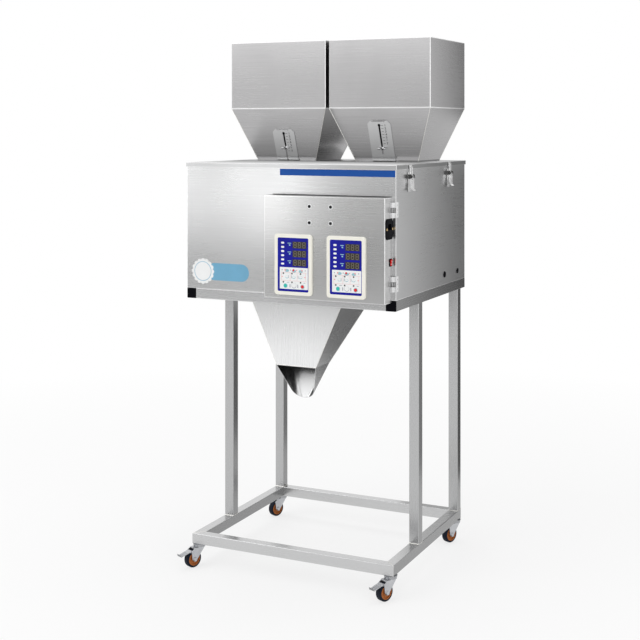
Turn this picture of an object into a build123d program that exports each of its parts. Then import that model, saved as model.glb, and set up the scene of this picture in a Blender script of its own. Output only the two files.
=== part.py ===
from build123d import *
import math
import os

# Powder filling machine with two hoppers, millimetres.
# +X is to the right seen from the front, +Y to the back, +Z up.
# The origin is on the floor, under the centre of the overall box.

# Cabinet and lid
CABINET_W = 660
CABINET_D = 575
CABINET_H = 366
SHEET = 1.5
LID_OVERHANG = 3
LID_SKIRT = 11
CUTOUT_MARGIN = 25

# Stand
TUBE = 30
TUBE_WALL = 1.5
TUBE_ROUND = 2
LEG_LENGTH = 694
STAND_INSET = 11
STAND_FRONT = 10
STAND_REAR = 5
LEG_SETBACK = 202
PLUG_CAP = 3
PLUG_GRIP = 12

# Casters
WHEEL_R = 25
WHEEL_W = 18
TYRE_T = 6
AXLE_R = 3
CASTER_TRAIL = 24
CASTER_TURN = 23.6
FORK_T = 2
FORK_TOP_GAP = 5
WHEEL_SIDE_GAP = 1.5
SWIVEL_HEAD_R = 19
SWIVEL_HEAD_H = 8.5
SWIVEL_GAP = 0.5
KINGPIN_R = 5
KINGPIN_HEAD_R = 7
RUNNING_CLEARANCE = 0.05
PEDAL_L = 36
PEDAL_T = 2
PEDAL_PIN_R = 2
PEDAL_PIN_UP = 20
PEDAL_PIN_BACK = 8
PEDAL_PIN_GAP = 0.3
PEDAL_DROOP = 15

# Hoppers
HOPPER_W = 326
HOPPER_D = 308
HOPPER_H = 205
HOPPER_GAP = 11
HOPPER_CENTRE = 418.5
TAPER_H = 161.5
THROAT_W = 202
THROAT_D = 184
THROAT_DROP = 22
HOPPER_ROUND = 3

# Gate plates, placed down the slope from the top of the taper
GATE_W = 74
GATE_L = 190
GATE_T = 1.5
GATE_GAP = 0.3
GATE_IN = 6.5
GATE_TOP_RIGHT = 40.5
GATE_TOP_LEFT = 67
GATE_SLOT_TOP = 10.5
GATE_SLOT_END = 108
GATE_SLOT_W = 5.6
GATE_KEYHOLE_R = 4.5
GATE_ROUND = 10
GATE_LIP_W = 40
GATE_LIP_H = 11
STUD_DOWN = 128
STUD_R = 2.5
STUD_L = 15
WING_SPAN = 26
WING_H = 10
WING_T = 2.5
WING_HUB_R = 5.5
WING_SPREAD = -20
LID_SLOT_D = 6

# Control box, which is a door on two hinges
BOX_INSET = 10
BOX_W = 365
BOX_DROP = 4.5
BOX_H = 285
BOX_D = 54.5
BOX_SHEET = 1.2
BOX_GAP = 0.5
BOX_RETURN = 12
HINGE_UP = (28, 229.5)
HINGE_H = 42
HINGE_LEAF_T = 1.2
HINGE_LEAF_L = 15
HINGE_BARREL_R = 2.8
HINGE_PIN_R = 1.5
HINGE_PIN_X = 0.6
HINGE_PIN_Y = 3.2

# Meters on the control box
METER_W = 115.5
METER_H = 169
METER_D = 6
METER_ROUND = 9
METER_UP = 10.5
METER_LEFT = 35
METER_PITCH = 160
PANEL_W = 95
PANEL_H = 149
PANEL_T = 1.5
PANEL_SINK = 0.5
PANEL_ROUND = 4
METER_WINDOW_MARGIN = 6
DISPLAY_W = 42.5
DISPLAY_H = 19
DISPLAY_PITCH = 24.5
DISPLAY_RIGHT = 6.5
DISPLAY_DOWN = 19.5
BOARD_T = 1.6
STANDOFF_L = 8
STANDOFF_R = 3

# Mains inlet, switch, mounting screws and power supply of the control box
INLET_W = 50
INLET_H = 56
INLET_END_W = 32
INLET_T = 3
INLET_BODY_D = 28
INLET_BODY_W = 30
INLET_BODY_H = 46
INLET_UP = 200.5
SOCKET_W = 24
SOCKET_H = 16.5
SOCKET_DEPTH = 16
SOCKET_UP = 6
BLADE_L = 10
BLADE_W = 4
BLADE_T = 2
SIDE_CENTRE = 27
SWITCH_W = 15
SWITCH_H = 21
SWITCH_UP = 109.5
SWITCH_CENTRE = 15
SWITCH_RIM = 2
SWITCH_BODY_D = 14
ROCKER_GAP = 0.5
ROCKER_TILT = 8
ROCKER_H = 4
SCREW_R = 4.5
SCREW_T = 2.5
SCREW_PITCH_X = 64.5
SCREW_PITCH_Z = 45
SCREW_LEFT = 140.5
SCREW_UP = 212.5
SUPPLY_W = 90
SUPPLY_H = 66
SUPPLY_D = 30

# Toggle latches, placed from the cabinet's side and from its pivot
LATCH_PLACES = (97.6, 419.3)
LATCH_BASE_W = 26
LATCH_BASE_UP = 12
LATCH_BASE_DOWN = 42
LATCH_PIVOT_OUT = 8
LATCH_PIVOT_DROP = 32
LATCH_EAR_IN = 10
LATCH_SHEET = 1.2
LATCH_EAR_R = 6
LATCH_RIVET_R = 1.5
LEVER_HALF_W = 9.5
LEVER_L = 34
LEVER_OFFSET = 2.5
LEVER_WINDOW = 19
LEVER_TIP = 5
BAIL_HALF_W = 6
BAIL_WIRE_R = 1.1
BAIL_L = 36
BAIL_PIVOT_IN = 1.5
BAIL_PIVOT_DOWN = 8
KEEPER_GAP = 0.35
KEEPER_HALF_W = 4.3
KEEPER_BASE_HALF_W = 11
KEEPER_LEDGE_T = 3
KEEPER_PAST_WIRE = 0.8

# Funnel under the deck
FUNNEL_FRONT = 53
FUNNEL_TOP_W = 314
FUNNEL_TOP_D = 251
FUNNEL_MID_W = 127.8
FUNNEL_MID_D = 93.6
FUNNEL_MID_DROP = 213
FUNNEL_TIP_W = 54
FUNNEL_TIP_D = 54
FUNNEL_TIP_DROP = 320
FUNNEL_TIP_ROUND = 25
FUNNEL_EDGE_ROUND = 1.5
FUNNEL_SHEET = 1.2
FUNNEL_FLANGE = 12
MOUTH_SLOPE = 1.8
DECK_HOLE_MARGIN = 6

# Feeders inside the cabinet, heights from the deck
TROUGH_UP = 265
TROUGH_WALL_H = 62
TROUGH_SHEET = 1.2
TROUGH_W = 193
TROUGH_FRONT = 190
TROUGH_NARROW = 330
TROUGH_REAR = 520
TROUGH_NOZZLE_W = 78
FEEDER_Y = 425
FEEDER_BASE_W = 110
FEEDER_BASE_D = 170
FEEDER_BASE_H = 40
FEEDER_BASE_UP = 178.5
FEEDER_FOOT_R = 9
LEAF_T = 1.6
LEAF_W = 40
LEAF_LEAN = 14
LEAF_PITCH = 120
MAGNET_W = 44
MAGNET_D = 40
MAGNET_H = 28
MAGNET_GAP = 1.5
ARMATURE_T = 10

# Weigh buckets, flaps and solenoids inside the cabinet
BUCKET_X = 88
BUCKET_W = 96
BUCKET_D = 105
BUCKET_FRONT = 120
BUCKET_UP = 85
BUCKET_H = 105
BUCKET_SHEET = 1.2
LOAD_CELL_W = 28
LOAD_CELL_H = 22
LOAD_CELL_L = 105
LOAD_CELL_UP = 120
LOAD_CELL_HOLE_R = 7
LOAD_POST_D = 28
FLAP_T = 1.5
FLAP_GAP = 0.5
FLAP_PIN_R = 2.5
FLAP_BARREL_R = 4
FLAP_EAR_T = 3
FLAP_TAIL_L = 12
FLAP_TAIL_W = 8
SOLENOID_X = 30
SOLENOID_W = 24
SOLENOID_H = 40
SOLENOID_UP = 105
PLUNGER_R = 4
PLUNGER_L = 46

# Cable grommets in the right side: place from the front, height above the deck, bore radius
GROMMETS = ((389, 30, 4.5), (505.6, 29, 3.5))
GROMMET_LIP = 3
GROMMET_LIP_T = 1.5
GROMMET_WALL = 1.5

# Derived places
CASTER_H = 2 * WHEEL_R + FORK_TOP_GAP + FORK_T + SWIVEL_GAP + SWIVEL_HEAD_H
LEG_Z = CASTER_H + TUBE
RAIL_Z = LEG_Z + LEG_LENGTH
DECK_Z = RAIL_Z + TUBE
DECK_TOP = DECK_Z + SHEET
CABINET_TOP = DECK_Z + CABINET_H
LID_TOP = CABINET_TOP + SHEET
TAPER_TOP = LID_TOP + TAPER_H
FRONT_REACH = BOX_GAP + BOX_D + METER_D
REAR_REACH = CABINET_D + LID_OVERHANG
FRONT = (FRONT_REACH - REAR_REACH) / 2
REAR = FRONT + CABINET_D
MIDDLE = FRONT + CABINET_D / 2
SIDE = CABINET_W / 2
INNER = SIDE - SHEET
STAND_W = CABINET_W - 2 * STAND_INSET
STAND_D = CABINET_D - STAND_FRONT - STAND_REAR
STAND_Y = FRONT + STAND_FRONT + STAND_D / 2
HOPPER_X = (HOPPER_GAP + HOPPER_W) / 2
HOPPER_Y = FRONT + HOPPER_CENTRE
GATE_X = HOPPER_X - GATE_IN
TAPER_RUN = (HOPPER_D - THROAT_D) / 2
SLOPE_ANGLE = math.degrees(math.atan2(TAPER_RUN, TAPER_H))
BOX_RIGHT = SIDE - BOX_INSET
BOX_LEFT = BOX_RIGHT - BOX_W
BOX_BOTTOM = DECK_Z - BOX_DROP
BOX_BACK = FRONT - BOX_GAP
BOX_FACE = BOX_BACK - BOX_D
HINGE_X = SIDE + HINGE_PIN_X
HINGE_Y = FRONT - HINGE_PIN_Y
LATCH_X = SIDE + LATCH_PIVOT_OUT
LATCH_Z = CABINET_TOP - LATCH_PIVOT_DROP
BAIL_X = LATCH_X - BAIL_PIVOT_IN
BAIL_Z = LATCH_Z - BAIL_PIVOT_DOWN
BAIL_LEAN = 0.5
FLAP_Y = FRONT + BUCKET_FRONT + BUCKET_D + FLAP_BARREL_R + 1
FLAP_Z = DECK_Z + BUCKET_UP - FLAP_GAP - FLAP_T - 1
SOLENOID_Y = FRONT + BUCKET_FRONT + BUCKET_D + SOLENOID_W / 2
TROUGH_Z = DECK_Z + TROUGH_UP
BASE_TOP_Z = DECK_Z + FEEDER_BASE_UP
LOW = (Align.MIN, Align.MIN, Align.MIN)


def slab(low, high, mode=Mode.ADD):
    """Add or cut a block between two corners in the part that is being built."""
    with Locations(low):
        Box(high[0] - low[0], high[1] - low[1], high[2] - low[2], align=LOW, mode=mode)


def save(piece, name):
    piece.part.label = name
    export_step(piece.part, f"parts/{name}.step")


def gate_plane(side, down):
    """A plane on the front of a taper: X to the right, Y up the slope, Z out of the sheet."""
    lean = math.radians(SLOPE_ANGLE)
    up_slope = Vector(0, -math.sin(lean), math.cos(lean))
    top = Vector(side * GATE_X, HOPPER_Y - HOPPER_D / 2, TAPER_TOP)
    out = Vector(1, 0, 0).cross(up_slope)
    return Plane(origin=top - up_slope * down, x_dir=(1, 0, 0), z_dir=out)


def latch_plane(side, place, x, z):
    """A plane across a latch: X out from the cabinet's side, Y up, at the latch's middle."""
    return Plane(origin=(side * x, FRONT + place, z), x_dir=(side, 0, 0), z_dir=(0, -side, 0))


def caster_plane(side, place, z=0):
    """A plane under a caster: Y points forward, against the way the wheel trails."""
    return Plane(origin=(side * (STAND_W - TUBE) / 2, STAND_Y + place * (STAND_D - TUBE) / 2, z),
                 x_dir=Vector(1, 0, 0).rotate(Axis.Z, -CASTER_TURN), z_dir=(0, 0, 1))


def cross_tubes():
    with BuildPart() as tubes:
        with BuildSketch(Plane(origin=(-STAND_W / 2, STAND_Y, CASTER_H + TUBE / 2), x_dir=(0, 1, 0),
                               z_dir=(1, 0, 0))):
            with GridLocations(STAND_D - TUBE, 1, 2, 1):
                RectangleRounded(TUBE, TUBE, TUBE_ROUND)
                Rectangle(TUBE - 2 * TUBE_WALL, TUBE - 2 * TUBE_WALL, mode=Mode.SUBTRACT)
        extrude(amount=STAND_W)
        with BuildSketch(Plane(origin=(0, STAND_Y, CASTER_H))):
            for side in (-1, 1):
                for end in (-1, 1):
                    with BuildLine():
                        Polyline((side * STAND_W / 2, end * STAND_D / 2),
                                 (side * STAND_W / 2, end * (STAND_D / 2 - TUBE)),
                                 (side * (STAND_W / 2 - TUBE), end * (STAND_D / 2 - TUBE)), close=True)
                    make_face()
        extrude(amount=TUBE, mode=Mode.SUBTRACT)
        with BuildSketch(Plane(origin=(TUBE - SIDE, MIDDLE, RAIL_Z + TUBE / 2), x_dir=(0, 1, 0),
                               z_dir=(1, 0, 0))):
            with GridLocations(CABINET_D - TUBE, 1, 2, 1):
                RectangleRounded(TUBE, TUBE, TUBE_ROUND)
                Rectangle(TUBE - 2 * TUBE_WALL, TUBE - 2 * TUBE_WALL, mode=Mode.SUBTRACT)
        extrude(amount=CABINET_W - 2 * TUBE)
    save(tubes, "cross_tubes")


def side_tubes():
    with BuildPart() as tubes:
        with BuildSketch(Plane(origin=(0, STAND_Y - STAND_D / 2, CASTER_H + TUBE / 2), x_dir=(-1, 0, 0),
                               z_dir=(0, 1, 0))):
            with GridLocations(STAND_W - TUBE, 1, 2, 1):
                RectangleRounded(TUBE, TUBE, TUBE_ROUND)
                Rectangle(TUBE - 2 * TUBE_WALL, TUBE - 2 * TUBE_WALL, mode=Mode.SUBTRACT)
        extrude(amount=STAND_D)
        with BuildSketch(Plane(origin=(0, STAND_Y, CASTER_H))):
            for side in (-1, 1):
                for end in (-1, 1):
                    with BuildLine():
                        Polyline((side * STAND_W / 2, end * STAND_D / 2),
                                 (side * (STAND_W / 2 - TUBE), end * STAND_D / 2),
                                 (side * (STAND_W / 2 - TUBE), end * (STAND_D / 2 - TUBE)), close=True)
                    make_face()
        extrude(amount=TUBE, mode=Mode.SUBTRACT)
        with BuildSketch(Plane(origin=(0, FRONT + PLUG_CAP, RAIL_Z + TUBE / 2), x_dir=(-1, 0, 0),
                               z_dir=(0, 1, 0))):
            with GridLocations(CABINET_W - TUBE, 1, 2, 1):
                RectangleRounded(TUBE, TUBE, TUBE_ROUND)
                Rectangle(TUBE - 2 * TUBE_WALL, TUBE - 2 * TUBE_WALL, mode=Mode.SUBTRACT)
        extrude(amount=CABINET_D - 2 * PLUG_CAP)
    save(tubes, "side_tubes")


def legs():
    half = (STAND_W - TUBE) / 2
    front = FRONT + LEG_SETBACK + TUBE / 2
    rear = STAND_Y + (STAND_D - TUBE) / 2
    with BuildPart() as tubes:
        with BuildSketch(Plane.XY.offset(LEG_Z)):
            with Locations((-half, front), (half, front), (-half, rear), (half, rear)):
                RectangleRounded(TUBE, TUBE, TUBE_ROUND)
                Rectangle(TUBE - 2 * TUBE_WALL, TUBE - 2 * TUBE_WALL, mode=Mode.SUBTRACT)
        extrude(amount=LEG_LENGTH)
    save(tubes, "legs")


def rail_end_plugs():
    grip = TUBE - 2 * TUBE_WALL
    with BuildPart() as plugs:
        for y, way in ((FRONT, 1), (REAR, -1)):
            cap = Plane(origin=(0, y, RAIL_Z + TUBE / 2), x_dir=(1, 0, 0), z_dir=(0, -way, 0))
            with BuildSketch(cap):
                with GridLocations(CABINET_W - TUBE, 1, 2, 1):
                    RectangleRounded(TUBE, TUBE, TUBE_ROUND)
            extrude(amount=-PLUG_CAP)
            with BuildSketch(cap.offset(-PLUG_CAP)):
                with GridLocations(CABINET_W - TUBE, 1, 2, 1):
                    Rectangle(grip, grip)
                    Rectangle(grip - 2 * TUBE_ROUND, grip - 2 * TUBE_ROUND, mode=Mode.SUBTRACT)
            extrude(amount=-PLUG_GRIP)
    save(plugs, "rail_end_plugs")


def caster_heads():
    head_z = CASTER_H - SWIVEL_HEAD_H
    pin_end = head_z - SWIVEL_GAP - FORK_T - SWIVEL_GAP
    with BuildPart() as heads:
        for side in (-1, 1):
            for place in (-1, 1):
                with BuildSketch(caster_plane(side, place, CASTER_H)):
                    Circle(SWIVEL_HEAD_R)
                extrude(amount=-SWIVEL_HEAD_H, taper=12)
                with BuildSketch(caster_plane(side, place, head_z)):
                    Circle(KINGPIN_R)
                extrude(amount=pin_end - head_z)
                with BuildSketch(caster_plane(side, place, pin_end)):
                    Circle(KINGPIN_HEAD_R)
                extrude(amount=-FORK_T)
    save(heads, "caster_heads")


def caster_fork(name, side, place, braked):
    top = CASTER_H - SWIVEL_HEAD_H - SWIVEL_GAP
    half = WHEEL_W / 2 + WHEEL_SIDE_GAP
    cheek = caster_plane(side, place)
    cheek_plane = Plane(origin=cheek.origin, x_dir=-cheek.y_dir, z_dir=-cheek.x_dir)
    pin_at = (CASTER_TRAIL + PEDAL_PIN_BACK, WHEEL_R + PEDAL_PIN_UP)
    with BuildPart() as fork:
        with BuildSketch(cheek.offset(top)):
            with Locations((0, -CASTER_TRAIL / 4)):
                RectangleRounded(2 * (half + FORK_T), 2 * SWIVEL_HEAD_R, FORK_T)
            Circle(KINGPIN_R + RUNNING_CLEARANCE, mode=Mode.SUBTRACT)
        extrude(amount=-FORK_T)
        for way in (-1, 1):
            with BuildSketch(cheek_plane.offset(way * half)):
                with BuildLine():
                    Polyline((-SWIVEL_HEAD_R + CASTER_TRAIL / 4 + FORK_T, top),
                             (SWIVEL_HEAD_R + CASTER_TRAIL / 4 - FORK_T, top),
                             (pin_at[0] + 2 * PEDAL_PIN_R, pin_at[1] + 2 * PEDAL_PIN_R),
                             (CASTER_TRAIL + 3 * AXLE_R, WHEEL_R),
                             (CASTER_TRAIL + AXLE_R, WHEEL_R - 2 * AXLE_R),
                             (CASTER_TRAIL - AXLE_R, WHEEL_R - 2 * AXLE_R),
                             (CASTER_TRAIL - 3 * AXLE_R, WHEEL_R), close=True)
                make_face()
            extrude(amount=way * FORK_T)
        with BuildSketch(cheek_plane):
            with Locations((CASTER_TRAIL, WHEEL_R)):
                Circle(AXLE_R)
        extrude(amount=half + FORK_T, both=True)
        with BuildSketch(cheek_plane.offset(half + FORK_T), cheek_plane.offset(-half - FORK_T - AXLE_R)):
            with Locations((CASTER_TRAIL, WHEEL_R)):
                RegularPolygon(2 * AXLE_R, 6)
        extrude(amount=AXLE_R)
        if braked:
            for way in (-1, 1):
                with BuildSketch(cheek_plane.offset(way * (half + FORK_T))):
                    with Locations(pin_at):
                        Circle(PEDAL_PIN_R)
                extrude(amount=-way * (FORK_T + WHEEL_SIDE_GAP - PEDAL_PIN_GAP))
    save(fork, f"fork_{name}")


def caster_wheel(name, side, place):
    cheek = caster_plane(side, place)
    axle = cheek.origin - cheek.y_dir * CASTER_TRAIL + Vector(0, 0, WHEEL_R)
    rim = WHEEL_R - TYRE_T
    section = Plane(origin=axle, x_dir=(0, 0, 1), z_dir=cheek.y_dir)
    axis = Axis(axle, cheek.x_dir)
    with BuildPart() as wheel:
        with BuildSketch(section):
            with Locations(((WHEEL_R + AXLE_R + RUNNING_CLEARANCE) / 2, 0)):
                Rectangle(WHEEL_R - AXLE_R - RUNNING_CLEARANCE, WHEEL_W)
            for end in (-1, 1):
                with Locations(((rim + 2 * AXLE_R) / 2, end * WHEEL_W / 2)):
                    Rectangle(rim - 4 * AXLE_R, WHEEL_W / 3, mode=Mode.SUBTRACT)
        revolve(axis=axis)
        fillet(wheel.edges().filter_by(GeomType.CIRCLE).sort_by(SortBy.RADIUS)[-2:], TYRE_T / 2)
    save(wheel, f"wheel_{name}")


def brake_pedal(name, side, place):
    cheek = caster_plane(side, place)
    across = Plane(origin=cheek.origin, x_dir=-cheek.y_dir, z_dir=-cheek.x_dir)
    half = WHEEL_W / 2 + WHEEL_SIDE_GAP - SWIVEL_GAP
    pin_x = CASTER_TRAIL + PEDAL_PIN_BACK
    pin_z = WHEEL_R + PEDAL_PIN_UP
    droop = math.radians(PEDAL_DROOP)
    tread = Vector(math.cos(droop), -math.sin(droop))
    lift = Vector(math.sin(droop), math.cos(droop)) * (2 * PEDAL_PIN_R + PEDAL_T)
    pin = Vector(pin_x, pin_z)
    heel = pin + lift
    toe = heel + tread * PEDAL_L
    under = Vector(0, -PEDAL_T)
    with BuildPart() as pedal:
        with BuildSketch(across):
            with BuildLine():
                Polyline(heel, toe, toe + Vector(PEDAL_T, 2 * PEDAL_T),
                         toe + Vector(2 * PEDAL_T, 2 * PEDAL_T), toe + Vector(PEDAL_T, -PEDAL_T),
                         heel + under, close=True)
            make_face()
        extrude(amount=half, both=True)
        for way in (-1, 1):
            with BuildSketch(across.offset(way * half)):
                with Locations(pin):
                    Circle(2 * PEDAL_PIN_R)
                with BuildLine():
                    Polyline(pin - Vector(2 * PEDAL_PIN_R, 0), heel,
                             heel + tread * (4 * PEDAL_PIN_R) + under,
                             pin + Vector(2 * PEDAL_PIN_R, 0), close=True)
                make_face()
                with Locations(pin):
                    Circle(PEDAL_PIN_R + RUNNING_CLEARANCE, mode=Mode.SUBTRACT)
            extrude(amount=-way * PEDAL_T / 2)
    save(pedal, f"brake_pedal_{name}")


def cabinet_shell():
    cut_left = BOX_LEFT + CUTOUT_MARGIN
    cut_right = BOX_RIGHT - CUTOUT_MARGIN
    cut_low = DECK_TOP + CUTOUT_MARGIN
    cut_high = BOX_BOTTOM + BOX_H - CUTOUT_MARGIN
    with BuildPart() as shell:
        with BuildSketch(Plane.XY.offset(DECK_Z)):
            with BuildLine():
                Polyline((-SIDE, REAR - SHEET), (-SIDE, FRONT), (SIDE, FRONT), (SIDE, REAR - SHEET),
                         (INNER, REAR - SHEET), (INNER, FRONT + SHEET), (-INNER, FRONT + SHEET),
                         (-INNER, REAR - SHEET), close=True)
            make_face()
        extrude(amount=CABINET_H)
        fillet(shell.edges().filter_by(Axis.Z).group_by(Axis.Y)[0], SHEET / 2)
        slab((cut_left, FRONT, cut_low), (cut_right, FRONT + SHEET, cut_high), Mode.SUBTRACT)
        for place, height, bore in GROMMETS:
            with BuildSketch(Plane(origin=(INNER, FRONT + place, DECK_Z + height), z_dir=(1, 0, 0))):
                Circle(bore + GROMMET_WALL)
            extrude(amount=SHEET, mode=Mode.SUBTRACT)
    save(shell, "cabinet_shell")


def rear_panel():
    with BuildPart() as panel:
        slab((-SIDE, REAR - SHEET, DECK_Z), (SIDE, REAR, CABINET_TOP))
        fillet(panel.edges().filter_by(Axis.Z).group_by(Axis.Y)[-1], SHEET / 2)
    save(panel, "rear_panel")


def cabinet_deck():
    front = FRONT + FUNNEL_FRONT + DECK_HOLE_MARGIN
    rear = FRONT + FUNNEL_FRONT + FUNNEL_TOP_D - DECK_HOLE_MARGIN
    half = FUNNEL_TOP_W / 2 - DECK_HOLE_MARGIN
    with BuildPart() as deck:
        slab((-INNER, FRONT + SHEET, DECK_Z), (INNER, REAR - SHEET, DECK_TOP))
        slab((-half, front, DECK_Z), (half, rear, DECK_TOP), Mode.SUBTRACT)
    save(deck, "cabinet_deck")


def funnel_section(width, depth, drop, rounding, inset):
    """One level of the funnel: flat at the front, with rounded corners at the back."""
    front = FRONT + FUNNEL_FRONT + inset
    back = FRONT + FUNNEL_FRONT + depth - inset
    half = width / 2 - inset
    with BuildSketch(Plane.XY.offset(DECK_Z - drop)) as section:
        with Locations((0, (front + back) / 2)):
            Rectangle(2 * half, back - front)
        fillet(section.vertices().group_by(Axis.Y)[-1], rounding - inset)
    return section.sketch


def funnel():
    corner = FUNNEL_EDGE_ROUND + FUNNEL_SHEET
    levels = ((FUNNEL_TOP_W, FUNNEL_TOP_D, 0, corner),
              (FUNNEL_MID_W, FUNNEL_MID_D, FUNNEL_MID_DROP, corner),
              (FUNNEL_TIP_W, FUNNEL_TIP_D, FUNNEL_TIP_DROP, FUNNEL_TIP_ROUND))
    outside = [funnel_section(*level, 0) for level in levels]
    inside = [funnel_section(*level, FUNNEL_SHEET) for level in levels]
    mouth = Plane(origin=(0, FRONT + FUNNEL_FRONT, DECK_Z - FUNNEL_MID_DROP),
                  x_dir=(1, 0, 0), z_dir=(0, -MOUTH_SLOPE, -1))
    with BuildPart() as chute:
        loft(outside[0:2], ruled=True)
        loft(outside[1:3], ruled=True)
        with BuildSketch(Plane.XY.offset(DECK_Z)):
            with Locations((0, FRONT + FUNNEL_FRONT + FUNNEL_TOP_D / 2)):
                Rectangle(FUNNEL_TOP_W + 2 * FUNNEL_FLANGE, FUNNEL_TOP_D + 2 * FUNNEL_FLANGE)
        extrude(amount=-FUNNEL_SHEET)
        loft(inside[0:2], ruled=True, mode=Mode.SUBTRACT)
        loft(inside[1:3], ruled=True, mode=Mode.SUBTRACT)
        split(bisect_by=mouth, keep=Keep.BOTTOM)
    save(chute, "funnel")


def side_grommets():
    with BuildPart() as grommets:
        for place, height, bore in GROMMETS:
            hole = Plane(origin=(INNER, FRONT + place, DECK_Z + height), z_dir=(1, 0, 0))
            with BuildSketch(hole):
                Circle(bore + GROMMET_WALL)
            extrude(amount=SHEET)
            with BuildSketch(hole, hole.offset(SHEET + GROMMET_LIP_T)):
                Circle(bore + GROMMET_WALL + GROMMET_LIP)
            extrude(amount=-GROMMET_LIP_T)
            with BuildSketch(hole.offset(-GROMMET_LIP_T)):
                Circle(bore)
            extrude(amount=SHEET + 2 * GROMMET_LIP_T, mode=Mode.SUBTRACT)
    save(grommets, "side_grommets")


def lid():
    half = SIDE + LID_OVERHANG
    front = FRONT - LID_OVERHANG
    rear = REAR + LID_OVERHANG
    with BuildPart() as cover:
        slab((-half, front, CABINET_TOP - LID_SKIRT), (half, rear, LID_TOP))
        fillet(cover.edges().filter_by(Axis.Z), SHEET)
        fillet(cover.faces().sort_by(Axis.Z)[-1].edges(), SHEET / 2)
        slab((SHEET - half, front + SHEET, CABINET_TOP - LID_SKIRT),
             (half - SHEET, rear - SHEET, CABINET_TOP), Mode.SUBTRACT)
        with BuildSketch(Plane.XY.offset(CABINET_TOP)):
            for side in (-1, 1):
                with Locations((side * HOPPER_X, HOPPER_Y)):
                    Rectangle(THROAT_W, THROAT_D)
                with Locations((side * GATE_X, HOPPER_Y - THROAT_D / 2)):
                    Rectangle(GATE_W + 2, 2 * LID_SLOT_D)
        extrude(amount=SHEET, mode=Mode.SUBTRACT)
    save(cover, "lid")


def hopper(name, side):
    shrink_w = (HOPPER_W - THROAT_W) / TAPER_H
    shrink_d = (HOPPER_D - THROAT_D) / TAPER_H
    end_h = TAPER_H + THROAT_DROP
    end_w = HOPPER_W - shrink_w * end_h
    end_d = HOPPER_D - shrink_d * end_h
    centre = (side * HOPPER_X, HOPPER_Y)
    with BuildPart() as tub:
        with BuildSketch(Plane.XY.offset(TAPER_TOP)):
            with Locations(centre):
                RectangleRounded(HOPPER_W, HOPPER_D, HOPPER_ROUND)
        extrude(amount=HOPPER_H)
        with BuildSketch(Plane.XY.offset(TAPER_TOP)):
            with Locations(centre):
                RectangleRounded(HOPPER_W, HOPPER_D, HOPPER_ROUND)
        with BuildSketch(Plane.XY.offset(TAPER_TOP - end_h)):
            with Locations(centre):
                RectangleRounded(end_w, end_d, HOPPER_ROUND)
        loft(ruled=True)
        with BuildSketch(Plane.XY.offset(TAPER_TOP)):
            with Locations(centre):
                RectangleRounded(HOPPER_W - 2 * SHEET, HOPPER_D - 2 * SHEET, HOPPER_ROUND - SHEET)
        extrude(amount=HOPPER_H, mode=Mode.SUBTRACT)
        with BuildSketch(Plane.XY.offset(TAPER_TOP)):
            with Locations(centre):
                RectangleRounded(HOPPER_W - 2 * SHEET, HOPPER_D - 2 * SHEET, HOPPER_ROUND - SHEET)
        with BuildSketch(Plane.XY.offset(TAPER_TOP - end_h)):
            with Locations(centre):
                RectangleRounded(end_w - 2 * SHEET, end_d - 2 * SHEET, HOPPER_ROUND - SHEET)
        loft(ruled=True, mode=Mode.SUBTRACT)
        with BuildSketch(gate_plane(side, STUD_DOWN)):
            Circle(STUD_R)
        extrude(amount=STUD_L)
        with BuildSketch(gate_plane(side, STUD_DOWN)):
            Circle(STUD_R)
        extrude(amount=-SHEET / 2)
    save(tub, name)


def gate(name, side, down):
    top = gate_plane(side, down)
    with BuildPart() as plate:
        with BuildSketch(top.offset(GATE_GAP)):
            with BuildLine():
                half = GATE_W / 2
                Polyline((-half + GATE_ROUND, 0), (half - GATE_ROUND, 0), (half, -GATE_ROUND),
                         (half, -GATE_L), (-half, -GATE_L), (-half, -GATE_ROUND), close=True)
            make_face()
            with Locations((0, -(GATE_SLOT_TOP + GATE_SLOT_END) / 2)):
                Rectangle(GATE_SLOT_W, GATE_SLOT_END - GATE_SLOT_TOP, mode=Mode.SUBTRACT)
            with Locations((0, -GATE_SLOT_TOP - GATE_KEYHOLE_R)):
                Circle(GATE_KEYHOLE_R, mode=Mode.SUBTRACT)
        extrude(amount=GATE_T)
        with BuildSketch(top.offset(GATE_GAP + GATE_T)):
            with Locations((0, -GATE_T / 2)):
                Rectangle(GATE_LIP_W, GATE_T)
        extrude(amount=GATE_LIP_H)
    save(plate, name)


def wing_nut(name, side):
    seat = gate_plane(side, STUD_DOWN).offset(2 * GATE_GAP + GATE_T)
    with BuildPart() as nut:
        with BuildSketch(seat):
            Circle(WING_HUB_R)
        extrude(amount=WING_H - WING_T, taper=8)
        with BuildSketch(Plane(origin=seat.origin, x_dir=seat.x_dir, z_dir=-seat.y_dir)):
            for way in (-1, 1):
                with Locations((way * (WING_SPAN - WING_H) / 2, WING_H - WING_T)):
                    Ellipse(WING_H / 2, WING_H / 2 + WING_T / 4, rotation=way * WING_SPREAD)
                with BuildLine():
                    Polyline((0, WING_T), (way * (WING_SPAN - WING_H) / 2, WING_T),
                             (way * (WING_SPAN / 2 - WING_T), WING_H - WING_T),
                             (way * WING_HUB_R / 2, WING_H - WING_T), (0, WING_H - WING_T), close=True)
                make_face()
        extrude(amount=WING_T / 2, both=True)
        with BuildSketch(seat):
            Circle(STUD_R + RUNNING_CLEARANCE)
        extrude(amount=STUD_L, mode=Mode.SUBTRACT)
    save(nut, name)


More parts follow.
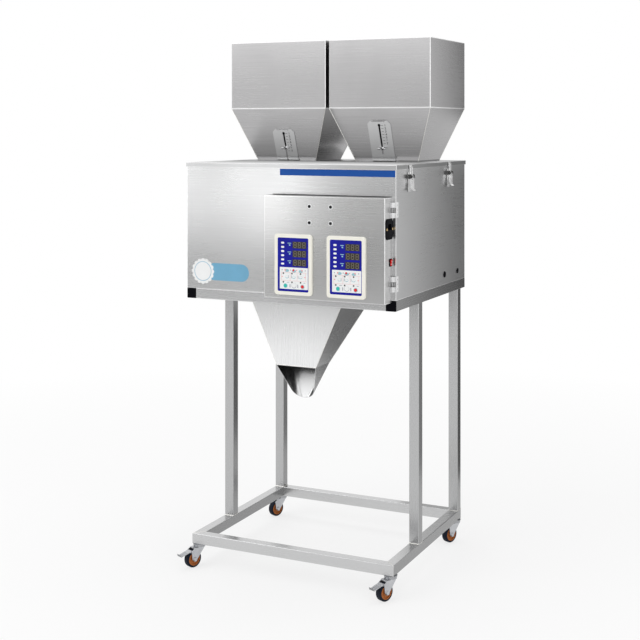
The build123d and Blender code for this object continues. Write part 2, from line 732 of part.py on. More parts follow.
def latch_bases():
    with BuildPart() as bases:
        for side in (-1, 1):
            for place in LATCH_PLACES:
                pivot = latch_plane(side, place, LATCH_X, LATCH_Z)
                foot = Plane(origin=(side * SIDE, FRONT + place, LATCH_Z), x_dir=(0, side, 0),
                             z_dir=(side, 0, 0))
                with BuildSketch(foot):
                    with Locations((0, (LATCH_BASE_UP - LATCH_BASE_DOWN) / 2)):
                        RectangleRounded(LATCH_BASE_W, LATCH_BASE_UP + LATCH_BASE_DOWN, LATCH_EAR_R / 2)
                extrude(amount=LATCH_SHEET)
                for way in (-1, 1):
                    with BuildSketch(pivot.offset(way * LATCH_EAR_IN)):
                        Circle(LATCH_EAR_R)
                        with Locations((-LATCH_PIVOT_OUT / 2, 0)):
                            Rectangle(LATCH_PIVOT_OUT, 2 * LATCH_EAR_R)
                    extrude(amount=way * LATCH_SHEET)
                    with BuildSketch(pivot.offset(way * (LEVER_HALF_W - LATCH_SHEET))):
                        Circle(LATCH_RIVET_R)
                    extrude(amount=way * (LATCH_EAR_IN + 2 * LATCH_SHEET - LEVER_HALF_W + LATCH_SHEET / 2))
    save(bases, "latch_bases")


def latch_keepers():
    wire_x = BAIL_X + BAIL_LEAN
    wire_z = BAIL_Z + BAIL_L
    ledge = wire_z - BAIL_WIRE_R - KEEPER_GAP
    skirt = SIDE + LID_OVERHANG
    reach = wire_x + KEEPER_PAST_WIRE
    with BuildPart() as keepers:
        for side in (-1, 1):
            for place in LATCH_PLACES:
                across = latch_plane(side, place, 0, 0)
                with BuildSketch(across):
                    with Locations((skirt + LATCH_SHEET / 2, CABINET_TOP - LID_SKIRT / 2)):
                        Rectangle(LATCH_SHEET, LID_SKIRT)
                extrude(amount=KEEPER_BASE_HALF_W, both=True)
                with BuildSketch(across):
                    with BuildLine():
                        Polyline((skirt, ledge), (reach, ledge), (reach, ledge - KEEPER_LEDGE_T / 2),
                                 (skirt, ledge - KEEPER_LEDGE_T), close=True)
                    make_face()
                extrude(amount=KEEPER_HALF_W, both=True)
    save(keepers, "latch_keepers")


def latch_lever(name, side, place):
    pivot = latch_plane(side, place, LATCH_X, LATCH_Z)
    face = LEVER_OFFSET + LATCH_SHEET
    ear = 2 * LATCH_RIVET_R
    hole = LATCH_RIVET_R + RUNNING_CLEARANCE
    bail_hole = BAIL_WIRE_R + RUNNING_CLEARANCE
    with BuildPart() as lever:
        with BuildSketch(pivot):
            with BuildLine():
                Polyline((LEVER_OFFSET, -LEVER_WINDOW), (LEVER_OFFSET, -LEVER_L), (LEVER_OFFSET + LEVER_TIP,
                         -LEVER_L - LEVER_TIP), (face + LEVER_TIP, -LEVER_L - LEVER_TIP),
                         (face, -LEVER_L), (face, -LEVER_WINDOW), close=True)
            make_face()
        extrude(amount=LEVER_HALF_W, both=True)
        for way in (-1, 1):
            with BuildSketch(pivot.offset(way * LEVER_HALF_W)):
                with BuildLine():
                    Polyline((face, 0), (face, -LEVER_L), (LEVER_OFFSET, -LEVER_L),
                             (-ear, -BAIL_PIVOT_DOWN - ear), (-ear, 0), close=True)
                make_face()
                Circle(ear)
                Circle(hole, mode=Mode.SUBTRACT)
                with Locations((-BAIL_PIVOT_IN, -BAIL_PIVOT_DOWN)):
                    Circle(bail_hole, mode=Mode.SUBTRACT)
            extrude(amount=-way * LATCH_SHEET)
    save(lever, name)


def latch_bail(name, side, place):
    middle = latch_plane(side, place, BAIL_X, BAIL_Z)
    start = middle.z_dir * LEVER_HALF_W
    leg = middle.z_dir * BAIL_HALF_W
    rise = middle.x_dir * BAIL_LEAN + middle.y_dir * BAIL_L
    with BuildPart() as bail:
        with BuildLine():
            FilletPolyline(middle.origin + start, middle.origin + leg, middle.origin + leg + rise,
                           middle.origin - leg + rise, middle.origin - leg, middle.origin - start,
                           radius=1.5 * BAIL_WIRE_R)
        with BuildSketch(Plane(origin=middle.origin + start, z_dir=-middle.z_dir)):
            Circle(BAIL_WIRE_R)
        sweep()
    save(bail, name)


def box_face_plane():
    """The front of the control box: X to the right from the middle, Y up from its lower edge."""
    return Plane(origin=(0, BOX_FACE, BOX_BOTTOM), x_dir=(1, 0, 0), z_dir=(0, -1, 0))


def box_side_plane():
    """The right side of the control box: X back from its back edge, Y up from its lower edge."""
    return Plane(origin=(BOX_RIGHT, BOX_BACK, BOX_BOTTOM), x_dir=(0, 1, 0), z_dir=(1, 0, 0))


def meter_places():
    """The middles of the two meters on the front of the control box."""
    first = BOX_LEFT + METER_LEFT + METER_W / 2
    height = METER_UP + METER_H / 2
    return [(first, height), (first + METER_PITCH, height)]


def display_places():
    """The middles of the three display windows of each meter."""
    over = PANEL_W / 2 - DISPLAY_RIGHT - DISPLAY_W / 2
    top = PANEL_H / 2 - DISPLAY_DOWN
    return [(x + over, y + top - row * DISPLAY_PITCH) for x, y in meter_places() for row in range(3)]


def screw_middle():
    return (BOX_LEFT + SCREW_LEFT + SCREW_PITCH_X / 2, SCREW_UP + SCREW_PITCH_Z / 2)


def control_box():
    top = BOX_BOTTOM + BOX_H
    with BuildPart() as box:
        slab((BOX_LEFT, BOX_FACE, BOX_BOTTOM), (BOX_RIGHT, BOX_BACK, top))
        fillet(box.edges().filter_by(Axis.Z).group_by(Axis.Y)[0], BOX_SHEET)
        slab((BOX_LEFT + BOX_SHEET, BOX_FACE + BOX_SHEET, BOX_BOTTOM + BOX_SHEET),
             (BOX_RIGHT - BOX_SHEET, BOX_BACK - BOX_SHEET, top - BOX_SHEET), Mode.SUBTRACT)
        slab((BOX_LEFT + BOX_RETURN, BOX_BACK - BOX_SHEET, BOX_BOTTOM + BOX_RETURN),
             (BOX_RIGHT - BOX_RETURN, BOX_BACK, top - BOX_RETURN), Mode.SUBTRACT)
        with BuildSketch(box_face_plane()):
            with Locations(meter_places()):
                Rectangle(PANEL_W - METER_WINDOW_MARGIN, PANEL_H - METER_WINDOW_MARGIN)
            with Locations(screw_middle()):
                with GridLocations(SCREW_PITCH_X, SCREW_PITCH_Z, 2, 2):
                    Circle(SCREW_R / 2)
        extrude(amount=-BOX_SHEET, mode=Mode.SUBTRACT)
        with BuildSketch(box_side_plane()):
            with Locations((-SIDE_CENTRE, INLET_UP)):
                Rectangle(INLET_BODY_W, INLET_BODY_H)
            with Locations((-SWITCH_CENTRE, SWITCH_UP)):
                Rectangle(SWITCH_W - SWITCH_RIM, SWITCH_H - SWITCH_RIM)
        extrude(amount=-BOX_SHEET, mode=Mode.SUBTRACT)
    save(box, "control_box")


def meter_bezels():
    with BuildPart() as bezels:
        with BuildSketch(box_face_plane()):
            with Locations(meter_places()):
                RectangleRounded(METER_W, METER_H, METER_ROUND)
        extrude(amount=METER_D)
        fillet(bezels.faces().filter_by(Axis.Y).group_by(Axis.Y)[0].edges(), METER_D / 4)
        with BuildSketch(box_face_plane().offset(METER_D)):
            with Locations(meter_places()):
                RectangleRounded(PANEL_W, PANEL_H, PANEL_ROUND)
        extrude(amount=-PANEL_SINK - PANEL_T, mode=Mode.SUBTRACT)
        with BuildSketch(box_face_plane()):
            with Locations(meter_places()):
                Rectangle(PANEL_W - METER_WINDOW_MARGIN, PANEL_H - METER_WINDOW_MARGIN)
        extrude(amount=METER_D, mode=Mode.SUBTRACT)
    save(bezels, "meter_bezels")


def keypad_panels():
    with BuildPart() as panels:
        with BuildSketch(box_face_plane().offset(METER_D - PANEL_SINK)):
            with Locations(meter_places()):
                RectangleRounded(PANEL_W, PANEL_H, PANEL_ROUND)
            with Locations(display_places()):
                Rectangle(DISPLAY_W, DISPLAY_H, mode=Mode.SUBTRACT)
        extrude(amount=-PANEL_T)
    save(panels, "keypad_panels")


def displays():
    with BuildPart() as modules:
        with BuildSketch(box_face_plane().offset(METER_D - PANEL_SINK)):
            with Locations(display_places()):
                Rectangle(DISPLAY_W, DISPLAY_H)
        extrude(amount=PANEL_SINK - METER_D - BOX_SHEET - STANDOFF_L)
    save(modules, "displays")


def control_boards():
    post_pitch = PANEL_W + 2 * STANDOFF_R
    with BuildPart() as boards:
        for place in meter_places():
            with BuildSketch(box_face_plane().offset(-BOX_SHEET)):
                with Locations(place):
                    with GridLocations(post_pitch, PANEL_H - 4 * STANDOFF_R, 2, 2):
                        Circle(STANDOFF_R)
            extrude(amount=-STANDOFF_L)
            with BuildSketch(box_face_plane().offset(-BOX_SHEET - STANDOFF_L)):
                with Locations(place):
                    Rectangle(post_pitch + 3 * STANDOFF_R, PANEL_H)
            extrude(amount=-BOARD_T)
            with BuildSketch(box_face_plane().offset(-BOX_SHEET - STANDOFF_L - BOARD_T)):
                with Locations(place):
                    with GridLocations(PANEL_W / 2, PANEL_H / 2, 2, 2):
                        Rectangle(DISPLAY_H, DISPLAY_H)
            extrude(amount=-STANDOFF_L)
    save(boards, "control_boards")


def mount_screws():
    with BuildPart() as screws:
        with BuildSketch(box_face_plane()):
            with Locations(screw_middle()):
                with GridLocations(SCREW_PITCH_X, SCREW_PITCH_Z, 2, 2):
                    Circle(SCREW_R)
        extrude(amount=SCREW_T)
        fillet(screws.faces().filter_by(Axis.Y).group_by(Axis.Y)[0].edges(), SCREW_T / 2)
        with BuildSketch(box_face_plane()):
            with Locations(screw_middle()):
                with GridLocations(SCREW_PITCH_X, SCREW_PITCH_Z, 2, 2):
                    Circle(SCREW_R / 2)
        extrude(amount=-BOX_SHEET)
    save(screws, "mount_screws")


def power_supply():
    with BuildPart() as supply:
        with BuildSketch(box_face_plane().offset(-BOX_SHEET)):
            with Locations(screw_middle()):
                RectangleRounded(SUPPLY_W, SUPPLY_H, SCREW_R)
        extrude(amount=-SUPPLY_D)
        with BuildSketch(box_face_plane().offset(-BOX_SHEET - SUPPLY_D)):
            with Locations(screw_middle()):
                with GridLocations(2 * SCREW_R, 1, 7, 1):
                    Rectangle(SCREW_R, SUPPLY_H - 4 * SCREW_R)
        extrude(amount=SUPPLY_D / 6, mode=Mode.SUBTRACT)
    save(supply, "power_supply")


def power_inlet():
    face = Plane(origin=box_side_plane().from_local_coords(Vector(-SIDE_CENTRE, INLET_UP)),
                 x_dir=(0, 1, 0), z_dir=(1, 0, 0))
    half_w, half_end, half_h = INLET_W / 2, INLET_END_W / 2, INLET_H / 2
    waist = half_h - (half_w - half_end)
    with BuildPart() as inlet:
        with BuildSketch(face):
            with BuildLine():
                Polyline((half_w, waist), (half_end, half_h), (-half_end, half_h), (-half_w, waist),
                         (-half_w, -waist), (-half_end, -half_h), (half_end, -half_h),
                         (half_w, -waist), close=True)
            make_face()
        extrude(amount=INLET_T)
        fillet(inlet.faces().sort_by(Axis.X)[-1].edges(), INLET_T / 3)
        with BuildSketch(face):
            Rectangle(INLET_BODY_W, INLET_BODY_H)
        extrude(amount=-INLET_BODY_D)
        with BuildSketch(face.offset(INLET_T)):
            with Locations((0, SOCKET_UP)):
                Rectangle(SOCKET_W, SOCKET_H)
            with Locations((SOCKET_W / 2, SOCKET_UP + SOCKET_H / 2),
                           (-SOCKET_W / 2, SOCKET_UP + SOCKET_H / 2)):
                Rectangle(SOCKET_H / 3, SOCKET_H / 3, rotation=45, mode=Mode.SUBTRACT)
        extrude(amount=-SOCKET_DEPTH, mode=Mode.SUBTRACT)
        with BuildSketch(face.offset(INLET_T - SOCKET_DEPTH)):
            with Locations((0, SOCKET_UP + BLADE_W / 2), (-SOCKET_W / 4, SOCKET_UP - BLADE_W / 2),
                           (SOCKET_W / 4, SOCKET_UP - BLADE_W / 2)):
                Rectangle(BLADE_T, BLADE_W)
        extrude(amount=BLADE_L)
        with BuildSketch(face.offset(INLET_T)):
            with Locations((0, 2 * BLADE_W - half_h)):
                Rectangle(SOCKET_W, 2 * BLADE_W)
                Rectangle(SOCKET_W - BLADE_T, 2 * BLADE_W - BLADE_T, mode=Mode.SUBTRACT)
        extrude(amount=-BLADE_T, mode=Mode.SUBTRACT)
    save(inlet, "power_inlet")


def switch_bezel():
    face = box_side_plane()
    middle = (-SWITCH_CENTRE, SWITCH_UP)
    with BuildPart() as bezel:
        with BuildSketch(face):
            with Locations(middle):
                RectangleRounded(SWITCH_W, SWITCH_H, SWITCH_RIM)
        extrude(amount=SWITCH_RIM)
        with BuildSketch(face):
            with Locations(middle):
                Rectangle(SWITCH_W - SWITCH_RIM, SWITCH_H - SWITCH_RIM)
        extrude(amount=-SWITCH_BODY_D)
        with BuildSketch(face.offset(SWITCH_RIM)):
            with Locations(middle):
                Rectangle(SWITCH_W - 2 * SWITCH_RIM, SWITCH_H - 2 * SWITCH_RIM)
        extrude(amount=-SWITCH_BODY_D + SWITCH_RIM, mode=Mode.SUBTRACT)
    save(bezel, "switch_bezel")


def power_rocker():
    radius = SWITCH_H / 2 - SWITCH_RIM - ROCKER_GAP
    edge = radius - ROCKER_GAP / 2
    half_w = SWITCH_W / 2 - SWITCH_RIM - ROCKER_GAP
    pivot = Vector(BOX_RIGHT + SWITCH_RIM, BOX_BACK - SWITCH_CENTRE, BOX_BOTTOM + SWITCH_UP)
    tilt = math.radians(ROCKER_TILT)
    across = Plane(origin=pivot, x_dir=(math.sin(tilt), 0, math.cos(tilt)), z_dir=(0, 1, 0))
    with BuildPart() as rocker:
        with BuildSketch(across):
            Circle(radius)
            with Locations((0, radius)):
                Rectangle(2 * radius, 2 * radius, mode=Mode.SUBTRACT)
            with BuildLine():
                Polyline((-radius, 0), (-edge, ROCKER_H / 2), (0, ROCKER_H / 8), (edge, ROCKER_H / 2),
                         (radius, 0), close=True)
            make_face()
        extrude(amount=half_w, both=True)
    save(rocker, "power_rocker")


def fixed_hinge_leaves():
    third = HINGE_H / 3
    with BuildPart() as leaves:
        for up in HINGE_UP:
            low = BOX_BOTTOM + up
            slab((SIDE, FRONT, low), (SIDE + HINGE_LEAF_T, FRONT + HINGE_LEAF_L, low + HINGE_H))
            slab((SIDE, HINGE_Y, low + third + SWIVEL_GAP / 2),
                 (SIDE + HINGE_LEAF_T, FRONT, low + 2 * third - SWIVEL_GAP / 2))
            with BuildSketch(Plane(origin=(HINGE_X, HINGE_Y, low + third + SWIVEL_GAP / 2))):
                Circle(HINGE_BARREL_R)
            extrude(amount=third - SWIVEL_GAP)
            with BuildSketch(Plane(origin=(HINGE_X, HINGE_Y, low))):
                Circle(HINGE_PIN_R)
            extrude(amount=HINGE_H)
    save(leaves, "fixed_hinge_leaves")


def moving_hinge_leaves():
    third = HINGE_H / 3
    bend = BOX_BACK - 2.5 * HINGE_BARREL_R
    with BuildPart() as leaves:
        for up in HINGE_UP:
            low = BOX_BOTTOM + up
            slab((BOX_RIGHT, bend - HINGE_LEAF_L + HINGE_BARREL_R, low),
                 (BOX_RIGHT + HINGE_LEAF_T, bend, low + HINGE_H))
            for start in (low, low + 2 * third):
                with BuildSketch(Plane.XY.offset(start)):
                    with BuildLine():
                        Polyline((BOX_RIGHT, bend), (BOX_RIGHT, bend - HINGE_LEAF_T),
                                 (BOX_RIGHT + HINGE_LEAF_T, bend - HINGE_LEAF_T),
                                 (HINGE_X, HINGE_Y - HINGE_BARREL_R / 2),
                                 (HINGE_X - HINGE_BARREL_R / 2, HINGE_Y), close=True)
                    make_face()
                    with Locations((HINGE_X, HINGE_Y)):
                        Circle(HINGE_BARREL_R)
                        Circle(HINGE_PIN_R + RUNNING_CLEARANCE, mode=Mode.SUBTRACT)
                extrude(amount=third)
    save(leaves, "moving_hinge_leaves")


def feeder_troughs():
    neck = FRONT + TROUGH_FRONT + TROUGH_NOZZLE_W / 2
    with BuildPart() as troughs:
        for side in (-1, 1):
            wide = [side * (HOPPER_X + half * TROUGH_W / 2) for half in (-1, 1)]
            lip = [side * (BUCKET_X + half * TROUGH_NOZZLE_W / 2) for half in (-1, 1)]
            with BuildSketch(Plane.XY.offset(TROUGH_Z)) as plan:
                with BuildLine():
                    Polyline((wide[0], FRONT + TROUGH_REAR), (wide[0], FRONT + TROUGH_NARROW),
                             (lip[0], neck), (lip[0], FRONT + TROUGH_FRONT), (lip[1], FRONT + TROUGH_FRONT),
                             (lip[1], neck), (wide[1], FRONT + TROUGH_NARROW),
                             (wide[1], FRONT + TROUGH_REAR), close=True)
                make_face()
            extrude(amount=TROUGH_WALL_H)
            with BuildSketch(Plane.XY.offset(TROUGH_Z + TROUGH_SHEET)):
                add(offset(plan.sketch, amount=-TROUGH_SHEET, mode=Mode.PRIVATE).moved(
                    Location((0, 0, TROUGH_SHEET))))
            extrude(amount=TROUGH_WALL_H, mode=Mode.SUBTRACT)
            slab((min(lip) + TROUGH_SHEET, FRONT + TROUGH_FRONT, TROUGH_Z + TROUGH_SHEET),
                 (max(lip) - TROUGH_SHEET, FRONT + TROUGH_FRONT + TROUGH_SHEET, TROUGH_Z + TROUGH_WALL_H),
                 Mode.SUBTRACT)
    save(troughs, "feeder_troughs")


def feeder_bases():
    with BuildPart() as bases:
        for side in (-1, 1):
            with BuildSketch(Plane.XY.offset(BASE_TOP_Z)):
                with Locations((side * HOPPER_X, FRONT + FEEDER_Y)):
                    RectangleRounded(FEEDER_BASE_W, FEEDER_BASE_D, FEEDER_FOOT_R)
            extrude(amount=-FEEDER_BASE_H)
            with BuildSketch(Plane.XY.offset(DECK_TOP)):
                with Locations((side * HOPPER_X, FRONT + FEEDER_Y)):
                    with GridLocations(FEEDER_BASE_W - 4 * FEEDER_FOOT_R,
                                       FEEDER_BASE_D - 4 * FEEDER_FOOT_R, 2, 2):
                        Circle(FEEDER_FOOT_R)
            extrude(amount=BASE_TOP_Z - FEEDER_BASE_H - DECK_TOP)
    save(bases, "feeder_bases")


def feeder_springs():
    with BuildPart() as springs:
        for side in (-1, 1):
            with BuildSketch(Plane(origin=(side * HOPPER_X, 0, 0), x_dir=(0, 1, 0), z_dir=(1, 0, 0))):
                for end in (-1, 1):
                    y = FRONT + FEEDER_Y + end * LEAF_PITCH / 2
                    with BuildLine():
                        Polyline((y, BASE_TOP_Z), (y + LEAF_T, BASE_TOP_Z),
                                 (y + LEAF_T + LEAF_LEAN, TROUGH_Z), (y + LEAF_LEAN, TROUGH_Z),
                                 close=True)
                    make_face()
            extrude(amount=LEAF_W / 2, both=True)
    save(springs, "feeder_springs")


def feeder_magnets():
    with BuildPart() as magnets:
        for side in (-1, 1):
            middle = (side * HOPPER_X, FRONT + FEEDER_Y)
            with BuildSketch(Plane.XY.offset(BASE_TOP_Z)):
                with Locations(middle):
                    RectangleRounded(MAGNET_W, MAGNET_D, ARMATURE_T / 2)
            extrude(amount=MAGNET_H)
            with BuildSketch(Plane.XY.offset(BASE_TOP_Z + MAGNET_H + MAGNET_GAP)):
                with Locations(middle):
                    Rectangle(MAGNET_W, ARMATURE_T)
            extrude(amount=TROUGH_Z - BASE_TOP_Z - MAGNET_H - MAGNET_GAP)
    save(magnets, "feeder_magnets")


def weigh_buckets():
    rear = FRONT + BUCKET_FRONT + BUCKET_D
    low = DECK_Z + BUCKET_UP
    with BuildPart() as buckets:
        for side in (-1, 1):
            x = side * BUCKET_X
            half = BUCKET_W / 2
            slab((x - half, FRONT + BUCKET_FRONT, low), (x + half, rear, low + BUCKET_H))
            slab((x - half + BUCKET_SHEET, FRONT + BUCKET_FRONT + BUCKET_SHEET, low),
                 (x + half - BUCKET_SHEET, rear - BUCKET_SHEET, low + BUCKET_H), Mode.SUBTRACT)
            for way in (-1, 1):
                with BuildSketch(Plane(origin=(x + way * half, FLAP_Y, FLAP_Z), x_dir=(0, 1, 0),
                                       z_dir=(1, 0, 0))):
                    Circle(FLAP_BARREL_R)
                    with Locations((rear - FLAP_Y + FLAP_BARREL_R, low - FLAP_Z + FLAP_BARREL_R)):
                        Rectangle(2 * FLAP_BARREL_R, 2 * FLAP_BARREL_R)
                    with Locations(((rear - FLAP_Y) / 2, low - FLAP_Z)):
                        Rectangle(FLAP_Y - rear, 2 * FLAP_BARREL_R)
                    Circle(FLAP_PIN_R + RUNNING_CLEARANCE, mode=Mode.SUBTRACT)
                extrude(amount=-way * FLAP_EAR_T)
    save(buckets, "weigh_buckets")


def bucket_flap(name, side):
    x = side * BUCKET_X
    half = BUCKET_W / 2
    between = half - FLAP_EAR_T - FLAP_GAP
    rear = FRONT + BUCKET_FRONT + BUCKET_D
    top = DECK_Z + BUCKET_UP - FLAP_GAP
    tail_x = x + side * SOLENOID_X
    axle = Plane(origin=(x, FLAP_Y, FLAP_Z), x_dir=(0, 1, 0), z_dir=(1, 0, 0))
    with BuildPart() as flap:
        slab((x - half, FRONT + BUCKET_FRONT, top - FLAP_T), (x + half, rear - FLAP_GAP, top))
        slab((x - between, rear - FLAP_GAP, top - FLAP_T), (x + between, FLAP_Y, top))
        with BuildSketch(axle):
            Circle(FLAP_BARREL_R)
        extrude(amount=between, both=True)
        with BuildSketch(axle):
            Circle(FLAP_PIN_R)
        extrude(amount=half, both=True)
        slab((tail_x - FLAP_TAIL_W / 2, FLAP_Y, FLAP_Z - FLAP_T),
             (tail_x + FLAP_TAIL_W / 2, FLAP_Y + FLAP_TAIL_L, FLAP_Z + FLAP_T))
    save(flap, name)


def flap_solenoids():
    with BuildPart() as solenoids:
        with BuildSketch(Plane.XY.offset(DECK_Z + SOLENOID_UP)):
            with Locations((-BUCKET_X - SOLENOID_X, SOLENOID_Y), (BUCKET_X + SOLENOID_X, SOLENOID_Y)):
                RectangleRounded(SOLENOID_W, SOLENOID_W, PLUNGER_R / 2)
                Circle(PLUNGER_R + RUNNING_CLEARANCE, mode=Mode.SUBTRACT)
        extrude(amount=SOLENOID_H)
    save(solenoids, "flap_solenoids")


def solenoid_plunger(name, side):
    with BuildPart() as plunger:
        with BuildSketch(Plane(origin=(side * (BUCKET_X + SOLENOID_X), SOLENOID_Y,
                                       FLAP_Z + FLAP_T + FLAP_GAP))):
            Circle(PLUNGER_R)
        extrude(amount=PLUNGER_L)
        fillet(plunger.edges().sort_by(Axis.Z)[0], PLUNGER_R / 4)
    save(plunger, name)


def load_cells():
    rear = FRONT + BUCKET_FRONT + BUCKET_D
    low = DECK_Z + LOAD_CELL_UP
    with BuildPart() as cells:
        for side in (-1, 1):
            x = side * (BUCKET_X - LOAD_CELL_W / 2)
            with BuildSketch(Plane(origin=(x, rear, low), x_dir=(0, 1, 0), z_dir=(1, 0, 0))):
                with Locations((LOAD_CELL_L / 2, LOAD_CELL_H / 2)):
                    Rectangle(LOAD_CELL_L, LOAD_CELL_H)
                    SlotCenterToCenter(3 * LOAD_CELL_HOLE_R, 2 * LOAD_CELL_HOLE_R, mode=Mode.SUBTRACT)
                with Locations((LOAD_CELL_L - LOAD_POST_D / 2, (DECK_TOP - low) / 2)):
                    Rectangle(LOAD_POST_D, low - DECK_TOP)
            extrude(amount=LOAD_CELL_W / 2, both=True)
    save(cells, "load_cells")


os.makedirs("parts", exist_ok=True)
cross_tubes()
side_tubes()
legs()
rail_end_plugs()
caster_heads()
for name, side, place in (("front_left", -1, -1), ("front_right", 1, -1),
                          ("rear_left", -1, 1), ("rear_right", 1, 1)):
    caster_fork(name, side, place, braked=place < 0)
    caster_wheel(name, side, place)
brake_pedal("left", -1, -1)
brake_pedal("right", 1, -1)
cabinet_shell()
rear_panel()
cabinet_deck()
funnel()
side_grommets()
lid()
hopper("hopper_left", -1)
hopper("hopper_right", 1)
gate("gate_left", -1, GATE_TOP_LEFT)
gate("gate_right", 1, GATE_TOP_RIGHT)
wing_nut("wing_nut_left", -1)
wing_nut("wing_nut_right", 1)
latch_bases()
latch_keepers()
for end, place in zip(("front", "rear"), LATCH_PLACES):
    for hand, side in (("left", -1), ("right", 1)):
        latch_lever(f"latch_lever_{end}_{hand}", side, place)
        latch_bail(f"latch_bail_{end}_{hand}", side, place)
control_box()
meter_bezels()
keypad_panels()
displays()
control_boards()
mount_screws()
power_supply()
power_inlet()
switch_bezel()
power_rocker()
fixed_hinge_leaves()
moving_hinge_leaves()
feeder_troughs()
feeder_bases()
feeder_springs()
feeder_magnets()
weigh_buckets()
flap_solenoids()
load_cells()
for hand, side in (("left", -1), ("right", 1)):
    bucket_flap(f"bucket_flap_{hand}", side)
    solenoid_plunger(f"solenoid_plunger_{hand}", side)
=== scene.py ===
"""The finishes and small pieces of a powder filling machine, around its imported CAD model."""

import logging
import math
from dataclasses import dataclass
from enum import Enum
from typing import Any, Iterable, Optional, Sequence, Union

import bpy
from mathutils import Matrix, Vector


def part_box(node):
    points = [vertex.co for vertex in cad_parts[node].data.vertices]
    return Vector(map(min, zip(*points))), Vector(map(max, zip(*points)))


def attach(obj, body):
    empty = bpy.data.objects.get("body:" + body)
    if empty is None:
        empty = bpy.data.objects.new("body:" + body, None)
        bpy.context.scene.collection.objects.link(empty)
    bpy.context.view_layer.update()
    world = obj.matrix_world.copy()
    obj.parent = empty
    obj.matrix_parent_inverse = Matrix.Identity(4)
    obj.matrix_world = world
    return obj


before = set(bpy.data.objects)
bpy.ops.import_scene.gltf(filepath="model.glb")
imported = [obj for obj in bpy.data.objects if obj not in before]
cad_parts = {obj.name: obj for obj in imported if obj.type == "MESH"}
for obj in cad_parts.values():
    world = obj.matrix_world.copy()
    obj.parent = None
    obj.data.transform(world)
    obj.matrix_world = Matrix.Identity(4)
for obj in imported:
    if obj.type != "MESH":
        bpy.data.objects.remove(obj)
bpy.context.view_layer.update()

Point = tuple[float, float, float]
Colour = tuple[float, float, float]
Pair = tuple[float, float]
Box = tuple[Point, Point]
Place = Union[Vector, Point]
Group = bpy.types.NodeTree
Socket = bpy.types.NodeSocket
Material = bpy.types.Material
Piece = bpy.types.Object

MM = 0.001
UP = Vector((0.0, 0.0, 1.0))
WHITE_LIGHT = (1.0, 1.0, 1.0, 1.0)

# The lowest and highest corners of the folded bodies, along whose edges a highlight is painted.
CABINET_BOX = ((-0.33, -0.2585, 0.82), (0.33, 0.3165, 1.186))
LID_BOX = ((-0.333, -0.2615, 1.175), (0.333, 0.3195, 1.1875))
DOOR_BOX = ((-0.045, -0.3135, 0.8155), (0.32, -0.259, 1.1005))
NO_BOX = ((9.0, 9.0, 9.0), (9.0, 9.0, 9.0))  # Far outside the machine, so that no edge gets a painted highlight.
CABINET_FRONT = CABINET_BOX[0][1]
DOOR_FRONT = DOOR_BOX[0][1]
DOOR_SIDE = DOOR_BOX[1][0]

HOPPER_X = 0.1685
HOPPER_FRONT = 0.006
TAPER_TOP = 1.349
TAPER_LEAN = math.atan2(62.0, 161.5)
CASTER_TURN = math.radians(-23.6)
CASTER_AXLE = Vector((math.cos(CASTER_TURN), math.sin(CASTER_TURN), 0.0))
WHEELS = [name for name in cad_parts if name.startswith("wheel_")]
SKIN = 0.0003  # The thickness of a label and of the black strips painted as shadow round the door.

log = logging.getLogger("powder_filler")


class Facing(Enum):
    """The side of the machine that a flat piece is laid on, as its turn from lying on the floor."""

    FRONT = Matrix(((1, 0, 0), (0, 0, -1), (0, 1, 0)))
    RIGHT = Matrix(((0, 0, 1), (1, 0, 0), (0, 1, 0)))
    LEFT = Matrix(((0, 0, -1), (-1, 0, 0), (0, 1, 0)))
    SLOPE = Matrix(((1, 0, 0), (0, -math.sin(TAPER_LEAN), -math.cos(TAPER_LEAN)),
                    (0, math.cos(TAPER_LEAN), -math.sin(TAPER_LEAN))))


Face = Union[Facing, Matrix]


class Grain(Enum):
    """The way that brushed lines run on upright walls, as the stretch of their noise."""

    UPRIGHT = (260.0, 260.0, 3.0)
    ACROSS = (2.0, 2.0, 260.0)


def shaded(colour: Colour, factor: float) -> Colour:
    """Multiply a colour by a factor."""
    return tuple(channel * factor for channel in colour)


def hopper_box(side: int) -> Box:
    """Give the corners of a hopper's straight part, for side -1 on the left and 1 on the right."""
    return ((side * HOPPER_X - 0.163, HOPPER_FRONT, TAPER_TOP), (side * HOPPER_X + 0.163, 0.314, 1.554))


def middle_of(node: str) -> Vector:
    """Give the middle of a CAD node at rest."""
    low, high = (Vector(corner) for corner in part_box(node))
    return (low + high) / 2


